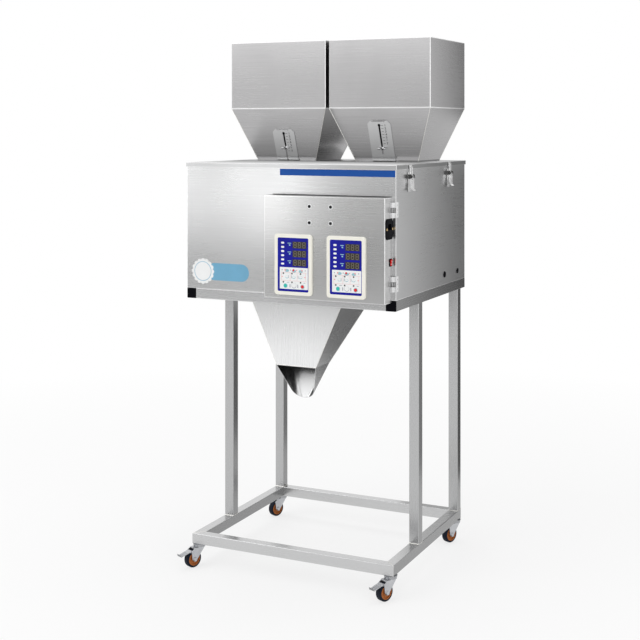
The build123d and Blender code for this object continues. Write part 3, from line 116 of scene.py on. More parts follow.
class NodeSheet:
    """A node tree that is filled in by short calls."""

    def __init__(self, tree: Group) -> None:
        """Keep the node tree of a material, a world or a node group."""
        self.tree = tree

    def add(self, kind: str, inputs: Optional[dict[Any, Any]] = None, **settings: Any) -> bpy.types.Node:
        """Add a node, with its settings and what goes into it.

        Args:
            kind: The node's type name, without the ShaderNode in front.
            inputs: A value, or another node's output socket, for each input's name or number.
            settings: The node's own settings, by name.

        Returns:
            The new node.
        """
        node = self.tree.nodes.new(kind if kind.startswith("Node") else "ShaderNode" + kind)
        for name, value in settings.items():
            setattr(node, name, value)
        for name, value in (inputs or {}).items():
            if isinstance(value, Socket):
                self.tree.links.new(value, node.inputs[name])
            else:
                node.inputs[name].default_value = value
        return node

    def link(self, socket: Socket, node: str, label: str) -> None:
        """Link a socket to an input, by its label, of a node that the tree was made with."""
        self.tree.links.new(socket, self.tree.nodes[node].inputs[label])

    def group(self, tree: Group, inputs: Optional[dict[str, Any]] = None) -> Any:
        """Use a node group with some inputs, and give its outputs."""
        return self.add("Group", inputs, node_tree=tree).outputs

    def place(self) -> Socket:
        """Give the place on the object, in metres."""
        return self.add("TexCoord").outputs["Object"]

    def parts(self, vector: Socket) -> Any:
        """Split a vector into X, Y and Z."""
        return self.add("SeparateXYZ", {0: vector}).outputs

    def normal(self) -> Any:
        """Give the X, Y and Z of the way that the surface looks."""
        return self.parts(self.add("NewGeometry").outputs["Normal"])

    def maths(self, operation: str, *values: Any) -> Socket:
        """Add a Math node for some numbers or sockets."""
        return self.add("Math", dict(enumerate(values)), operation=operation).outputs[0]

    def vectors(self, operation: str, *values: Any) -> Socket:
        """Add a Vector Math node, of which LENGTH alone puts out a number."""
        node = self.add("VectorMath", dict(enumerate(values)), operation=operation)
        return node.outputs["Value" if operation == "LENGTH" else "Vector"]

    def blend(self, mask: Any, first: Any, second: Any) -> Socket:
        """Mix two colours by a mask.

        Args:
            mask: 0 for the first colour and 1 for the second.
            first: A colour or a socket.
            second: A colour or a socket.

        Returns:
            The mixed colour.
        """
        pair = [value if isinstance(value, Socket) else (*value, 1.0) for value in (first, second)]
        return self.add("Mix", {0: mask, 6: pair[0], 7: pair[1]}, data_type="RGBA").outputs[2]

    def span(self, value: Any, low: float, high: float, out_low: float = 0.0,
             out_high: float = 1.0) -> Socket:
        """Map a range of values on another, and hold them there.

        Args:
            value: The socket to map.
            low: Where the range starts.
            high: Where it ends.
            out_low: What the start becomes.
            out_high: What the end becomes.

        Returns:
            The mapped value.
        """
        return self.add("MapRange", {0: value, 1: low, 2: high, 3: out_low, 4: out_high}).outputs[0]

    def seen(self) -> Socket:
        """Tell the rays of the camera, of mirrors and of glass, 1, from those that only carry light, 0."""
        ray = self.add("LightPath").outputs
        mirrored = self.maths("MAXIMUM", ray["Is Glossy Ray"], ray["Is Transmission Ray"])
        return self.maths("MAXIMUM", ray["Is Camera Ray"], mirrored)

    def glow(self, strength: Any) -> Socket:
        """Add a white light."""
        return self.add("Emission", {"Color": WHITE_LIGHT, "Strength": strength}).outputs[0]

    def wire(self, colour: Socket, roughness: Socket, height: Socket, constants: dict[str, float],
             strength: float = 0.05, depth: float = 0.0002) -> None:
        """Wire the Principled shader of a material.

        Args:
            colour: Its base colour.
            roughness: Its roughness.
            height: The height of its relief.
            constants: Its other values, by name.
            strength: How strong the relief is.
            depth: How deep the relief is, in metres.
        """
        bump = self.add("Bump", {"Strength": strength, "Distance": depth, "Height": height}).outputs[0]
        for label, socket in (("Base Color", colour), ("Roughness", roughness), ("Normal", bump)):
            self.link(socket, "Principled BSDF", label)
        for label, value in constants.items():
            self.tree.nodes["Principled BSDF"].inputs[label].default_value = value


def new_material(name: str) -> tuple[Material, NodeSheet]:
    """Make a material with a lone Principled shader.

    Args:
        name: The finish's name.

    Returns:
        The material and its sheet.
    """
    material = bpy.data.materials.new(name)
    material.use_nodes = True
    return material, NodeSheet(material.node_tree)


class Effects:
    """The node groups that more than one finish uses, each built once."""

    @staticmethod
    def start(name: str, inputs: dict[str, Any]) -> tuple[NodeSheet, Any]:
        """Make a node group with its inputs.

        Args:
            name: The group's name.
            inputs: The default of each input, a number or a vector, by name.

        Returns:
            The group's sheet, and the sockets that its inputs come in by.
        """
        tree = bpy.data.node_groups.new(name, "ShaderNodeTree")
        for label, default in inputs.items():
            kind = "NodeSocketVector" if isinstance(default, tuple) else "NodeSocketFloat"
            tree.interface.new_socket(label, in_out="INPUT", socket_type=kind).default_value = default
        sheet = NodeSheet(tree)
        return sheet, sheet.add("NodeGroupInput").outputs

    @staticmethod
    def finish(sheet: NodeSheet, results: dict[str, Socket]) -> Group:
        """Give a node group its outputs, all of them numbers.

        Args:
            sheet: The group's sheet.
            results: The socket for each output's name.

        Returns:
            The finished group.
        """
        for label in results:
            sheet.tree.interface.new_socket(label, in_out="OUTPUT", socket_type="NodeSocketFloat")
        sheet.add("NodeGroupOutput", results)
        return sheet.tree

    @classmethod
    def brushing(cls) -> Group:
        """Build the brushed lines of worked steel: they run one way on walls and along X on flat tops.

        Returns:
            The group.
        """
        sheet, given = cls.start("brushed lines", {"Wall Stretch": Grain.UPRIGHT.value,
                                                   "Top Stretch": (3.0, 260.0, 260.0)})
        place = sheet.place()
        flat = sheet.span(sheet.maths("ABSOLUTE", sheet.normal()[2]), 0.75, 0.9)
        values = []
        for stretch in ("Wall Stretch", "Top Stretch"):
            spread = sheet.vectors("MULTIPLY", place, given[stretch])
            noise = sheet.add("TexNoise", {"Vector": spread, "Scale": 3.0, "Detail": 5.0, "Roughness": 0.65})
            values.append(noise.outputs["Fac"])
        lines = sheet.add("Mix", {0: flat, 2: values[0], 3: values[1]}).outputs[0]
        clouds = sheet.add("TexNoise", {"Vector": place, "Scale": 4.5, "Detail": 2.0, "Distortion": 0.6})
        return cls.finish(sheet, {"Lines": lines, "Clouds": clouds.outputs["Fac"]})

    @classmethod
    def box_edges(cls) -> Group:
        """Build the mask of a box's folded edges, from the distance to its two nearest faces.

        Returns:
            The group.
        """
        sheet, given = cls.start("folded edges", {"Low": NO_BOX[0], "High": NO_BOX[1], "Width": 0.002})
        place = sheet.place()
        gaps = [sheet.vectors("ABSOLUTE", sheet.vectors("SUBTRACT", place, given[corner]))
                for corner in ("Low", "High")]
        parts = sheet.parts(sheet.vectors("MINIMUM", *gaps))
        low = sheet.maths("MINIMUM", parts[0], parts[1])
        high = sheet.maths("MAXIMUM", parts[0], parts[1])
        middle = sheet.maths("MAXIMUM", low, sheet.maths("MINIMUM", high, parts[2]))
        mask = sheet.maths("SUBTRACT", 1.0, sheet.maths("DIVIDE", middle, given["Width"]))
        return cls.finish(sheet, {"Mask": sheet.add("Clamp", {0: mask}).outputs[0]})

    @classmethod
    def turned(cls) -> Group:
        """Build masks of the faces by the way they look: sideways, down or rearward, along Y, and up.

        Returns:
            The group.
        """
        sheet, _ = cls.start("turned faces", {})
        across, along, upward = sheet.normal()
        down = sheet.span(sheet.maths("MULTIPLY", upward, -1.0), 0.05, 0.4)
        return cls.finish(sheet, {
            "Side": sheet.span(sheet.maths("ABSOLUTE", across), 0.75, 0.95),
            "Under": sheet.maths("MAXIMUM", down, sheet.span(along, 0.1, 0.5)),
            "Front": sheet.span(sheet.maths("ABSOLUTE", along), 0.45, 0.75),
            "Top": sheet.span(upward, 0.85, 0.97)})

    @classmethod
    def speckle(cls) -> Group:
        """Build the fine relief and uneven gloss of moulded or painted surfaces.

        Returns:
            The group.
        """
        sheet, given = cls.start("fine relief", {"Scale": 900.0})
        place = sheet.place()
        relief = sheet.add("TexNoise", {"Vector": place, "Scale": given["Scale"], "Detail": 3.0})
        wear = sheet.add("TexNoise", {"Vector": place, "Scale": 22.0, "Detail": 4.0, "Roughness": 0.6})
        return cls.finish(sheet, {"Relief": relief.outputs["Fac"], "Wear": wear.outputs["Fac"]})


BRUSHING = Effects.brushing()
FOLDED_EDGES = Effects.box_edges()
TURNED = Effects.turned()
SPECKLE = Effects.speckle()


@dataclass(frozen=True)
class BrushedSteel:
    """Worked stainless steel, with brushed lines and cloudy gloss, a painted highlight along its folded
    edges, and painted shade on faces that look sideways or up.
    """

    name: str
    colour: Colour
    roughness: float
    grain: Grain
    contrast: float = 0.12
    # The next three fields: the colour of a highlight painted along the folded edges, the width of that band,
    # and the box whose edges get it.
    edge: Colour = (0.97, 0.97, 0.97)
    edge_highlight_width: float = 0.0026
    box: Box = NO_BOX
    # The next two factors darken faces that look sideways along X, and faces that look up: a painted shade.
    side: float = 1.0
    top: float = 1.0

    def make(self) -> Material:
        """Build the material.

        Returns:
            The material.
        """
        material, sheet = new_material(self.name)
        brushed = sheet.group(BRUSHING, {"Wall Stretch": self.grain.value})
        # The mask of a band along the box's folded edges, where a highlight is painted.
        edges = sheet.group(FOLDED_EDGES, {"Low": self.box[0], "High": self.box[1], "Width": self.edge_highlight_width})
        turned = sheet.group(TURNED)
        tone = sheet.maths("ADD", sheet.span(brushed["Lines"], 0.3, 0.7),
                           sheet.span(brushed["Clouds"], 0.2, 0.8))
        dark = shaded(self.colour, 1.0 - self.contrast)
        face = sheet.blend(sheet.maths("MULTIPLY", tone, 0.5), dark, self.colour)
        # Painted shade: faces that look sideways along X, then faces that look up, take a darker tone by the
        # side and top factors.
        walls = sheet.blend(turned["Side"], face, shaded(dark, self.side))
        base = sheet.blend(turned["Top"], walls, shaded(dark, self.top))
        rough = sheet.span(tone, 0.2, 1.8, self.roughness + 0.04, self.roughness - 0.03)
        # Along the folded edges the colour turns to the painted highlight.
        sheet.wire(sheet.blend(edges["Mask"], base, self.edge), rough, brushed["Lines"], {"Metallic": 1.0})
        return material


@dataclass(frozen=True)
class Plated:
    """Bright plated or machined metal with faint handling marks, and painted shade on faces that look along
    Y, down or rearward.
    """

    name: str
    colour: Colour
    roughness: float
    # The next two factors darken faces that look down or rearward, and faces that look along Y: a painted
    # shade that stands in for dark surroundings mirrored in the metal.
    under: float = 1.0
    front_shade: float = 1.0
    metal: float = 1.0
    relief_scale: float = 700.0
    dulling: float = 0.82

    def make(self) -> Material:
        """Build the material.

        Returns:
            The material.
        """
        material, sheet = new_material(self.name)
        marks = sheet.group(SPECKLE, {"Scale": self.relief_scale})
        turned = sheet.group(TURNED)
        dull = shaded(self.colour, self.dulling)
        face = sheet.blend(sheet.span(marks["Wear"], 0.35, 0.7), dull, self.colour)
        # Painted shade: faces that look along Y, then faces that look down or rearward, are darkened.
        above = sheet.blend(turned["Front"], face, shaded(self.colour, self.front_shade))
        colour = sheet.blend(turned["Under"], above, shaded(self.colour, self.under))
        rough = sheet.span(marks["Wear"], 0.3, 0.7, self.roughness + 0.1, self.roughness)
        sheet.wire(colour, rough, marks["Relief"], {"Metallic": self.metal})
        return material


@dataclass(frozen=True)
class Moulded:
    """Plastic, rubber, paint or printed film, with fine relief and uneven gloss."""

    name: str
    colour: Colour
    roughness: float
    relief: float = 0.15
    variation: float = 0.12
    sheen: float = 0.5

    def make(self) -> Material:
        """Build the material.

        Returns:
            The material.
        """
        material, sheet = new_material(self.name)
        marks = sheet.group(SPECKLE)
        dark = shaded(self.colour, 1.0 - self.variation)
        colour = sheet.blend(sheet.span(marks["Wear"], 0.3, 0.7), dark, self.colour)
        rough = sheet.span(marks["Wear"], 0.3, 0.7, self.roughness + 0.06, self.roughness - 0.03)
        sheet.wire(colour, rough, marks["Relief"], {"Specular IOR Level": self.sheen}, self.relief)
        return material


@dataclass(frozen=True)
class Wheel:
    """A moulded wheel: an orange brown hub inside a black tyre, told apart by the distance from the axle."""

    name: str
    axle: Point
    hub: Colour = (0.52, 0.17, 0.045)
    tyre: Colour = (0.006, 0.009, 0.018)
    dust: Colour = (0.03, 0.033, 0.04)
    hub_radius: float = 0.019
    seam: float = 0.0004
    sheen: float = 0.12

    def make(self) -> Material:
        """Build the material.

        Returns:
            The material.
        """
        material, sheet = new_material(self.name)
        centred = sheet.add("Mapping", {"Vector": sheet.place(), "Location": self.axle,
                                        "Rotation": (0.0, 0.0, CASTER_TURN)}, vector_type="TEXTURE")
        radius = sheet.vectors("LENGTH", sheet.vectors("MULTIPLY", centred.outputs[0], (0.0, 1.0, 1.0)))
        outside = sheet.span(radius, self.hub_radius - self.seam, self.hub_radius + self.seam)
        marks = sheet.group(SPECKLE, {"Scale": 500.0})
        worn = sheet.blend(marks["Wear"], shaded(self.hub, 0.6), self.hub)
        dusty = sheet.blend(sheet.span(marks["Wear"], 0.5, 0.8), self.tyre, self.dust)
        rough = sheet.span(outside, 0.0, 1.0, 0.35, 0.6)
        sheet.wire(sheet.blend(outside, worn, dusty), rough, marks["Relief"],
                   {"Specular IOR Level": self.sheen}, 0.2, 0.0003)
        return material


class Finish(Enum):
    """Every finish of the machine but those of its wheels."""

    # Each steel's edge colour and width below give the highlight painted along its folded edges.
    CABINET = BrushedSteel("cabinet steel", (0.6, 0.602, 0.605), 0.28, Grain.ACROSS, edge=(0.9, 0.9, 0.9),
                           edge_highlight_width=0.0022, box=CABINET_BOX)
    # The side and top factors on the lid, door, funnel, tube and rail steels paint shade on their sideways
    # and upward faces.
    LID = BrushedSteel("lid steel", (0.54, 0.542, 0.545), 0.3, Grain.ACROSS, edge=(0.75, 0.75, 0.75),
                       edge_highlight_width=0.0014, box=LID_BOX, side=0.65, top=0.85)
    DOOR = BrushedSteel("door steel", (0.6, 0.6, 0.6), 0.28, Grain.ACROSS, box=DOOR_BOX, top=0.4)
    HOPPER_LEFT = BrushedSteel("hopper steel left", (0.54, 0.535, 0.54), 0.28, Grain.ACROSS, 0.3,
                               box=hopper_box(-1))
    HOPPER_RIGHT = BrushedSteel("hopper steel right", (0.54, 0.535, 0.54), 0.28, Grain.ACROSS, 0.3,
                                box=hopper_box(1))
    FUNNEL = BrushedSteel("funnel steel", (0.7, 0.702, 0.705), 0.26, Grain.UPRIGHT, 0.05, side=0.6)
    TUBE = BrushedSteel("tube steel", (0.49, 0.492, 0.495), 0.26, Grain.UPRIGHT, 0.05, side=0.62)
    RAIL = BrushedSteel("rail steel", (0.6, 0.602, 0.605), 0.26, Grain.ACROSS, 0.06, side=0.5)
    GATE = BrushedSteel("gate steel", (0.66, 0.662, 0.665), 0.3, Grain.UPRIGHT, 0.15)
    INNER = BrushedSteel("inner steel", (0.5, 0.502, 0.505), 0.35, Grain.ACROSS, 0.15)
    # The factors after the roughness of these plated finishes paint shade on faces that look down or
    # rearward, and along Y.
    CHROME = Plated("bright chrome", (0.9, 0.9, 0.91), 0.1, 0.03)
    LATCH = Plated("latch chrome", (0.95, 0.95, 0.95), 0.15, 0.02, 0.05, 0.4)
    LEVER = Plated("lever chrome", (0.95, 0.95, 0.95), 0.12, 0.02, 0.9, 0.4)
    LEAF = Plated("hinge plate", (0.95, 0.95, 0.95), 0.35, 0.1, 0.3, 0.6)
    ZINC = Plated("zinc plate", (0.56, 0.57, 0.59), 0.26, 0.3)
    SPRING = Plated("blued spring", (0.2, 0.21, 0.25), 0.3)
    BRASS = Plated("brass", (0.8, 0.58, 0.28), 0.22)
    ALUMINIUM = Plated("aluminium", (0.72, 0.73, 0.74), 0.35)
    WELD = Plated("weld seam", (0.78, 0.77, 0.74), 0.3)
    BLACK = Moulded("black plastic", (0.004, 0.004, 0.006), 0.4, sheen=0.02)
    RUBBER = Moulded("grommet rubber", (0.006, 0.006, 0.008), 0.6, 0.3, sheen=0.03)
    SCREW = Moulded("blackened screw", (0.01, 0.01, 0.012), 0.3, 0.1, sheen=0.2)
    RED = Moulded("rocker red", (0.85, 0.008, 0.006), 0.3, 0.03, sheen=0.15)
    CREAM = Moulded("bezel cream", (0.87, 0.85, 0.77), 0.3, 0.06, 0.04)
    BLUE = Moulded("keypad film", (0.006, 0.008, 0.34), 0.4, 0.04, 0.3, 0.15)
    WINDOW = Moulded("display window", (0.035, 0.028, 0.018), 0.3, 0.02, sheen=0.3)
    SEGMENT = Moulded("unlit segment", (0.2, 0.18, 0.15), 0.3, 0.02, sheen=0.3)
    WHITE = Moulded("white print", (0.85, 0.86, 0.86), 0.4, 0.02, 0.05)
    PALE = Moulded("pale blue print", (0.3, 0.55, 0.62), 0.4, 0.02)
    TEAL = Moulded("teal print", (0.01, 0.5, 0.42), 0.35, 0.02)
    SIGNAL = Moulded("red print", (0.75, 0.01, 0.015), 0.3, 0.02)
    ROSE = Moulded("rose print", (0.85, 0.35, 0.36), 0.4, 0.02)
    GREY = Moulded("grey print", (0.45, 0.46, 0.5), 0.4, 0.02)
    INK = Moulded("black print", (0.01, 0.01, 0.012), 0.35, 0.02)
    STRIP = Moulded("blue label", (0.003, 0.075, 0.35), 0.4, 0.02, 0.06, 0.2)
    TAG = Moulded("sky blue label", (0.16, 0.4, 0.58), 0.4, 0.02, 0.1, 0.3)
    BOARD = Moulded("circuit board", (0.01, 0.12, 0.05), 0.35, 0.2)
    PAINT = Moulded("grey paint", (0.09, 0.1, 0.11), 0.45, 0.25)
    COIL = Moulded("coil resin", (0.02, 0.02, 0.022), 0.4, 0.3)


MATERIALS = {finish: finish.value.make() for finish in Finish}


class Wardrobe:
    """What each CAD node wears."""

    STARTS = {
        Finish.CABINET: ("cabinet_", "rear_panel"),
        Finish.LID: ("lid",),
        Finish.DOOR: ("control_box",),
        Finish.HOPPER_LEFT: ("hopper_left",),
        Finish.HOPPER_RIGHT: ("hopper_right",),
        Finish.FUNNEL: ("funnel",),
        Finish.TUBE: ("legs",),
        Finish.RAIL: ("cross_tubes", "side_tubes"),
        Finish.GATE: ("gate_", "moving_hinge_leaves"),
        Finish.LEAF: ("fixed_hinge_leaves",),
        Finish.INNER: ("feeder_troughs", "weigh_buckets", "bucket_flap_", "solenoid_plunger_"),
        Finish.ZINC: ("caster_heads", "brake_pedal_", "fork_"),
        Finish.CHROME: ("wing_nut_",),
        Finish.LATCH: ("latch_bases", "latch_keepers"),
        Finish.LEVER: ("latch_lever_", "latch_bail_"),
        Finish.BLACK: ("rail_end_plugs", "power_inlet", "switch_bezel"),
        Finish.RUBBER: ("side_grommets",),
        Finish.SCREW: ("mount_screws",),
        Finish.RED: ("power_rocker",),
        Finish.CREAM: ("meter_bezels",),
        Finish.BLUE: ("keypad_panels",),
        Finish.WINDOW: ("displays",),
        Finish.BOARD: ("control_boards",),
        Finish.ALUMINIUM: ("power_supply", "load_cells"),
        Finish.PAINT: ("feeder_bases",),
        Finish.SPRING: ("feeder_springs",),
        Finish.COIL: ("feeder_magnets", "flap_solenoids"),
    }

    @staticmethod
    def assign(name: str, finish: Material) -> None:
        """Put a finish on a CAD node."""
        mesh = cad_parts[name].data
        mesh.materials.clear()
        mesh.materials.append(finish)

    @classmethod
    def dress(cls) -> None:
        """Give each CAD node the finish that its name starts with, and each wheel one centred on its axle."""
        for finish, starts in cls.STARTS.items():
            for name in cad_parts:
                if name.startswith(starts):
                    cls.assign(name, MATERIALS[finish])
        for name in WHEELS:
            cls.assign(name, Wheel(f"{name} rubber", tuple(middle_of(name))).make())


class Workshop:
    """The hand tools that shape a new piece: each leaves its place in the mesh."""

    @staticmethod
    def select_only(piece: Optional[Piece] = None) -> None:
        """Select one object, or nothing.

        Args:
            piece: The object to select and make active.
        """
        for other in bpy.context.selected_objects:
            other.select_set(False)
        if piece:
            piece.select_set(True)
            bpy.context.view_layer.objects.active = piece

    @classmethod
    def settle(cls, piece: Piece, finish: Material) -> Piece:
        """Put an object's place into its mesh, and dress it.

        Args:
            piece: The object.
            finish: Its material.

        Returns:
            The same object.
        """
        cls.select_only(piece)
        bpy.ops.object.transform_apply(location=True, rotation=True, scale=True)
        piece.data.materials.clear()
        piece.data.materials.append(finish)
        return piece

    @staticmethod
    def lay(facing: Face, middle: Place, scale: Pair, height: float) -> tuple[Piece, Vector]:
        """Lay a new flat primitive on a face, and open it in edit mode with all of it selected.

        Args:
            facing: The side of the machine, or the turn of another face.
            middle: The middle of its back.
            scale: What its width and height are multiplied by.
            height: How far it will stand out.

        Returns:
            The piece, and the way that it will stand out.
        """
        turn = facing.value if isinstance(facing, Facing) else facing
        piece = bpy.context.active_object
        piece.matrix_world = Matrix.Translation(middle) @ turn.to_4x4() @ Matrix.Diagonal((*scale, 1.0, 1.0))
        bpy.ops.object.transform_apply(location=True, rotation=True, scale=True)
        bpy.ops.object.mode_set(mode="EDIT")
        bpy.ops.mesh.select_all(action="SELECT")
        return piece, turn @ Vector((0.0, 0.0, height))

    @classmethod
    def close(cls, piece: Piece, finish: Finish) -> Piece:
        """Turn the faces of a piece in edit mode outward, leave edit mode, and dress the piece.

        Args:
            piece: The piece.
            finish: Its finish.

        Returns:
            The same piece.
        """
        bpy.ops.mesh.select_all(action="SELECT")
        bpy.ops.mesh.normals_make_consistent(inside=False)
        bpy.ops.object.mode_set(mode="OBJECT")
        return cls.settle(piece, MATERIALS[finish])

    @classmethod
    def plate(cls, facing: Face, finish: Finish, middle: Place, size: Pair, thickness: float,
              corner: float = 0.0, soften: float = 0.0) -> Piece:
        """Make a flat plate with rounded corners, laid on a face.

        Args:
            facing: The side of the machine, or the turn of another face.
            finish: Its finish.
            middle: The middle of its back.
            size: Its width and height.
            thickness: How far it stands out.
            corner: The radius of its corners.
            soften: The width of the bevel round its front.

        Returns:
            The plate.
        """
        cls.select_only()
        bpy.ops.mesh.primitive_plane_add(size=1.0)
        piece, outward = cls.lay(facing, middle, size, thickness)
        if corner:
            bpy.ops.mesh.bevel(offset=corner, segments=6, affect="VERTICES")
            bpy.ops.mesh.select_all(action="SELECT")
        bpy.ops.mesh.extrude_region_move(TRANSFORM_OT_translate={"value": outward})
        if soften:
            bpy.ops.mesh.inset(thickness=soften)
            bpy.ops.transform.translate(value=outward * 0.25)
        return cls.close(piece, finish)

    @classmethod
    def button(cls, facing: Face, finish: Finish, middle: Place, radius: float, height: float,
               crown: float, squeeze: float = 1.0, sides: int = 20) -> Piece:
        """Make a round or oval stud with a sloping shoulder, such as a rivet or a key's dot.

        Args:
            facing: The side of the machine, or the turn of another face.
            finish: Its finish.
            middle: The middle of its foot.
            radius: Its radius.
            height: How far it stands out.
            crown: The part of the radius that the shoulder takes.
            squeeze: Its height over its width, for an oval.
            sides: How many sides the circle has.

        Returns:
            The stud.
        """
        cls.select_only()
        bpy.ops.mesh.primitive_circle_add(vertices=sides, radius=radius, fill_type="NGON")
        piece, outward = cls.lay(facing, middle, (1.0, squeeze), height)
        for share in (0.6, 0.4):
            bpy.ops.mesh.extrude_region_move(TRANSFORM_OT_translate={"value": outward * share})
        bpy.ops.transform.resize(value=(1.0 - crown,) * 3, center_override=Vector(middle) + outward)
        return cls.close(piece, finish)

    @classmethod
    def bead(cls, start: Point, stop: Point, radius: float) -> Piece:
        """Make a weld bead between two points, with pinched ends.

        Args:
            start: One end.
            stop: The other end.
            radius: Its radius.

        Returns:
            The bead.
        """
        run = Vector(stop) - Vector(start)
        cls.select_only()
        bpy.ops.mesh.primitive_cylinder_add(vertices=10, radius=radius, depth=run.length,
                                            location=(Vector(start) + Vector(stop)) / 2,
                                            rotation=run.to_track_quat("Z", "Y").to_euler())
        piece = bpy.context.active_object
        bpy.ops.object.transform_apply(location=True, rotation=True, scale=True)
        bpy.ops.object.mode_set(mode="EDIT")
        bpy.ops.mesh.select_mode(type="FACE")
        bpy.ops.mesh.select_all(action="DESELECT")
        bpy.ops.object.mode_set(mode="OBJECT")
        for face in piece.data.polygons:
            face.select = abs(face.normal.dot(run.normalized())) > 0.9
        bpy.ops.object.mode_set(mode="EDIT")
        bpy.ops.mesh.inset(thickness=radius * 0.5)
        bpy.ops.object.mode_set(mode="OBJECT")
        return cls.settle(piece, MATERIALS[Finish.WELD])

    @staticmethod
    def copies(pattern: Piece, moves: Iterable[Sequence[float]]) -> list[Piece]:
        """Copy a piece to other places, each copy with its own mesh.

        Args:
            pattern: The piece to copy.
            moves: How far each copy lies from it.

        Returns:
            The copies.
        """
        made = []
        for move in moves:
            copy = pattern.copy()
            copy.data = pattern.data.copy()
            copy.data.transform(Matrix.Translation(Vector(move)))
            bpy.context.collection.objects.link(copy)
            made.append(copy)
        return made

    @classmethod
    def join(cls, pieces: Sequence[Piece], name: str, body: str) -> None:
        """Join pieces of one finish or more into one that rides on a body.

        Args:
            pieces: The pieces, of which the first stays.
            name: The joined piece's name.
            body: The CAD body that it moves with.
        """
        cls.select_only(pieces[0])
        for piece in pieces:
            piece.select_set(True)
        if len(pieces) > 1:
            bpy.ops.object.join()
        whole = bpy.context.active_object
        whole.name = name
        whole.data.name = name
        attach(whole, body)
        log.info("%s: %d faces on %s", name, len(whole.data.polygons), body)


Marks = tuple[Finish, Sequence[Pair], Union[Pair, float], float, int]


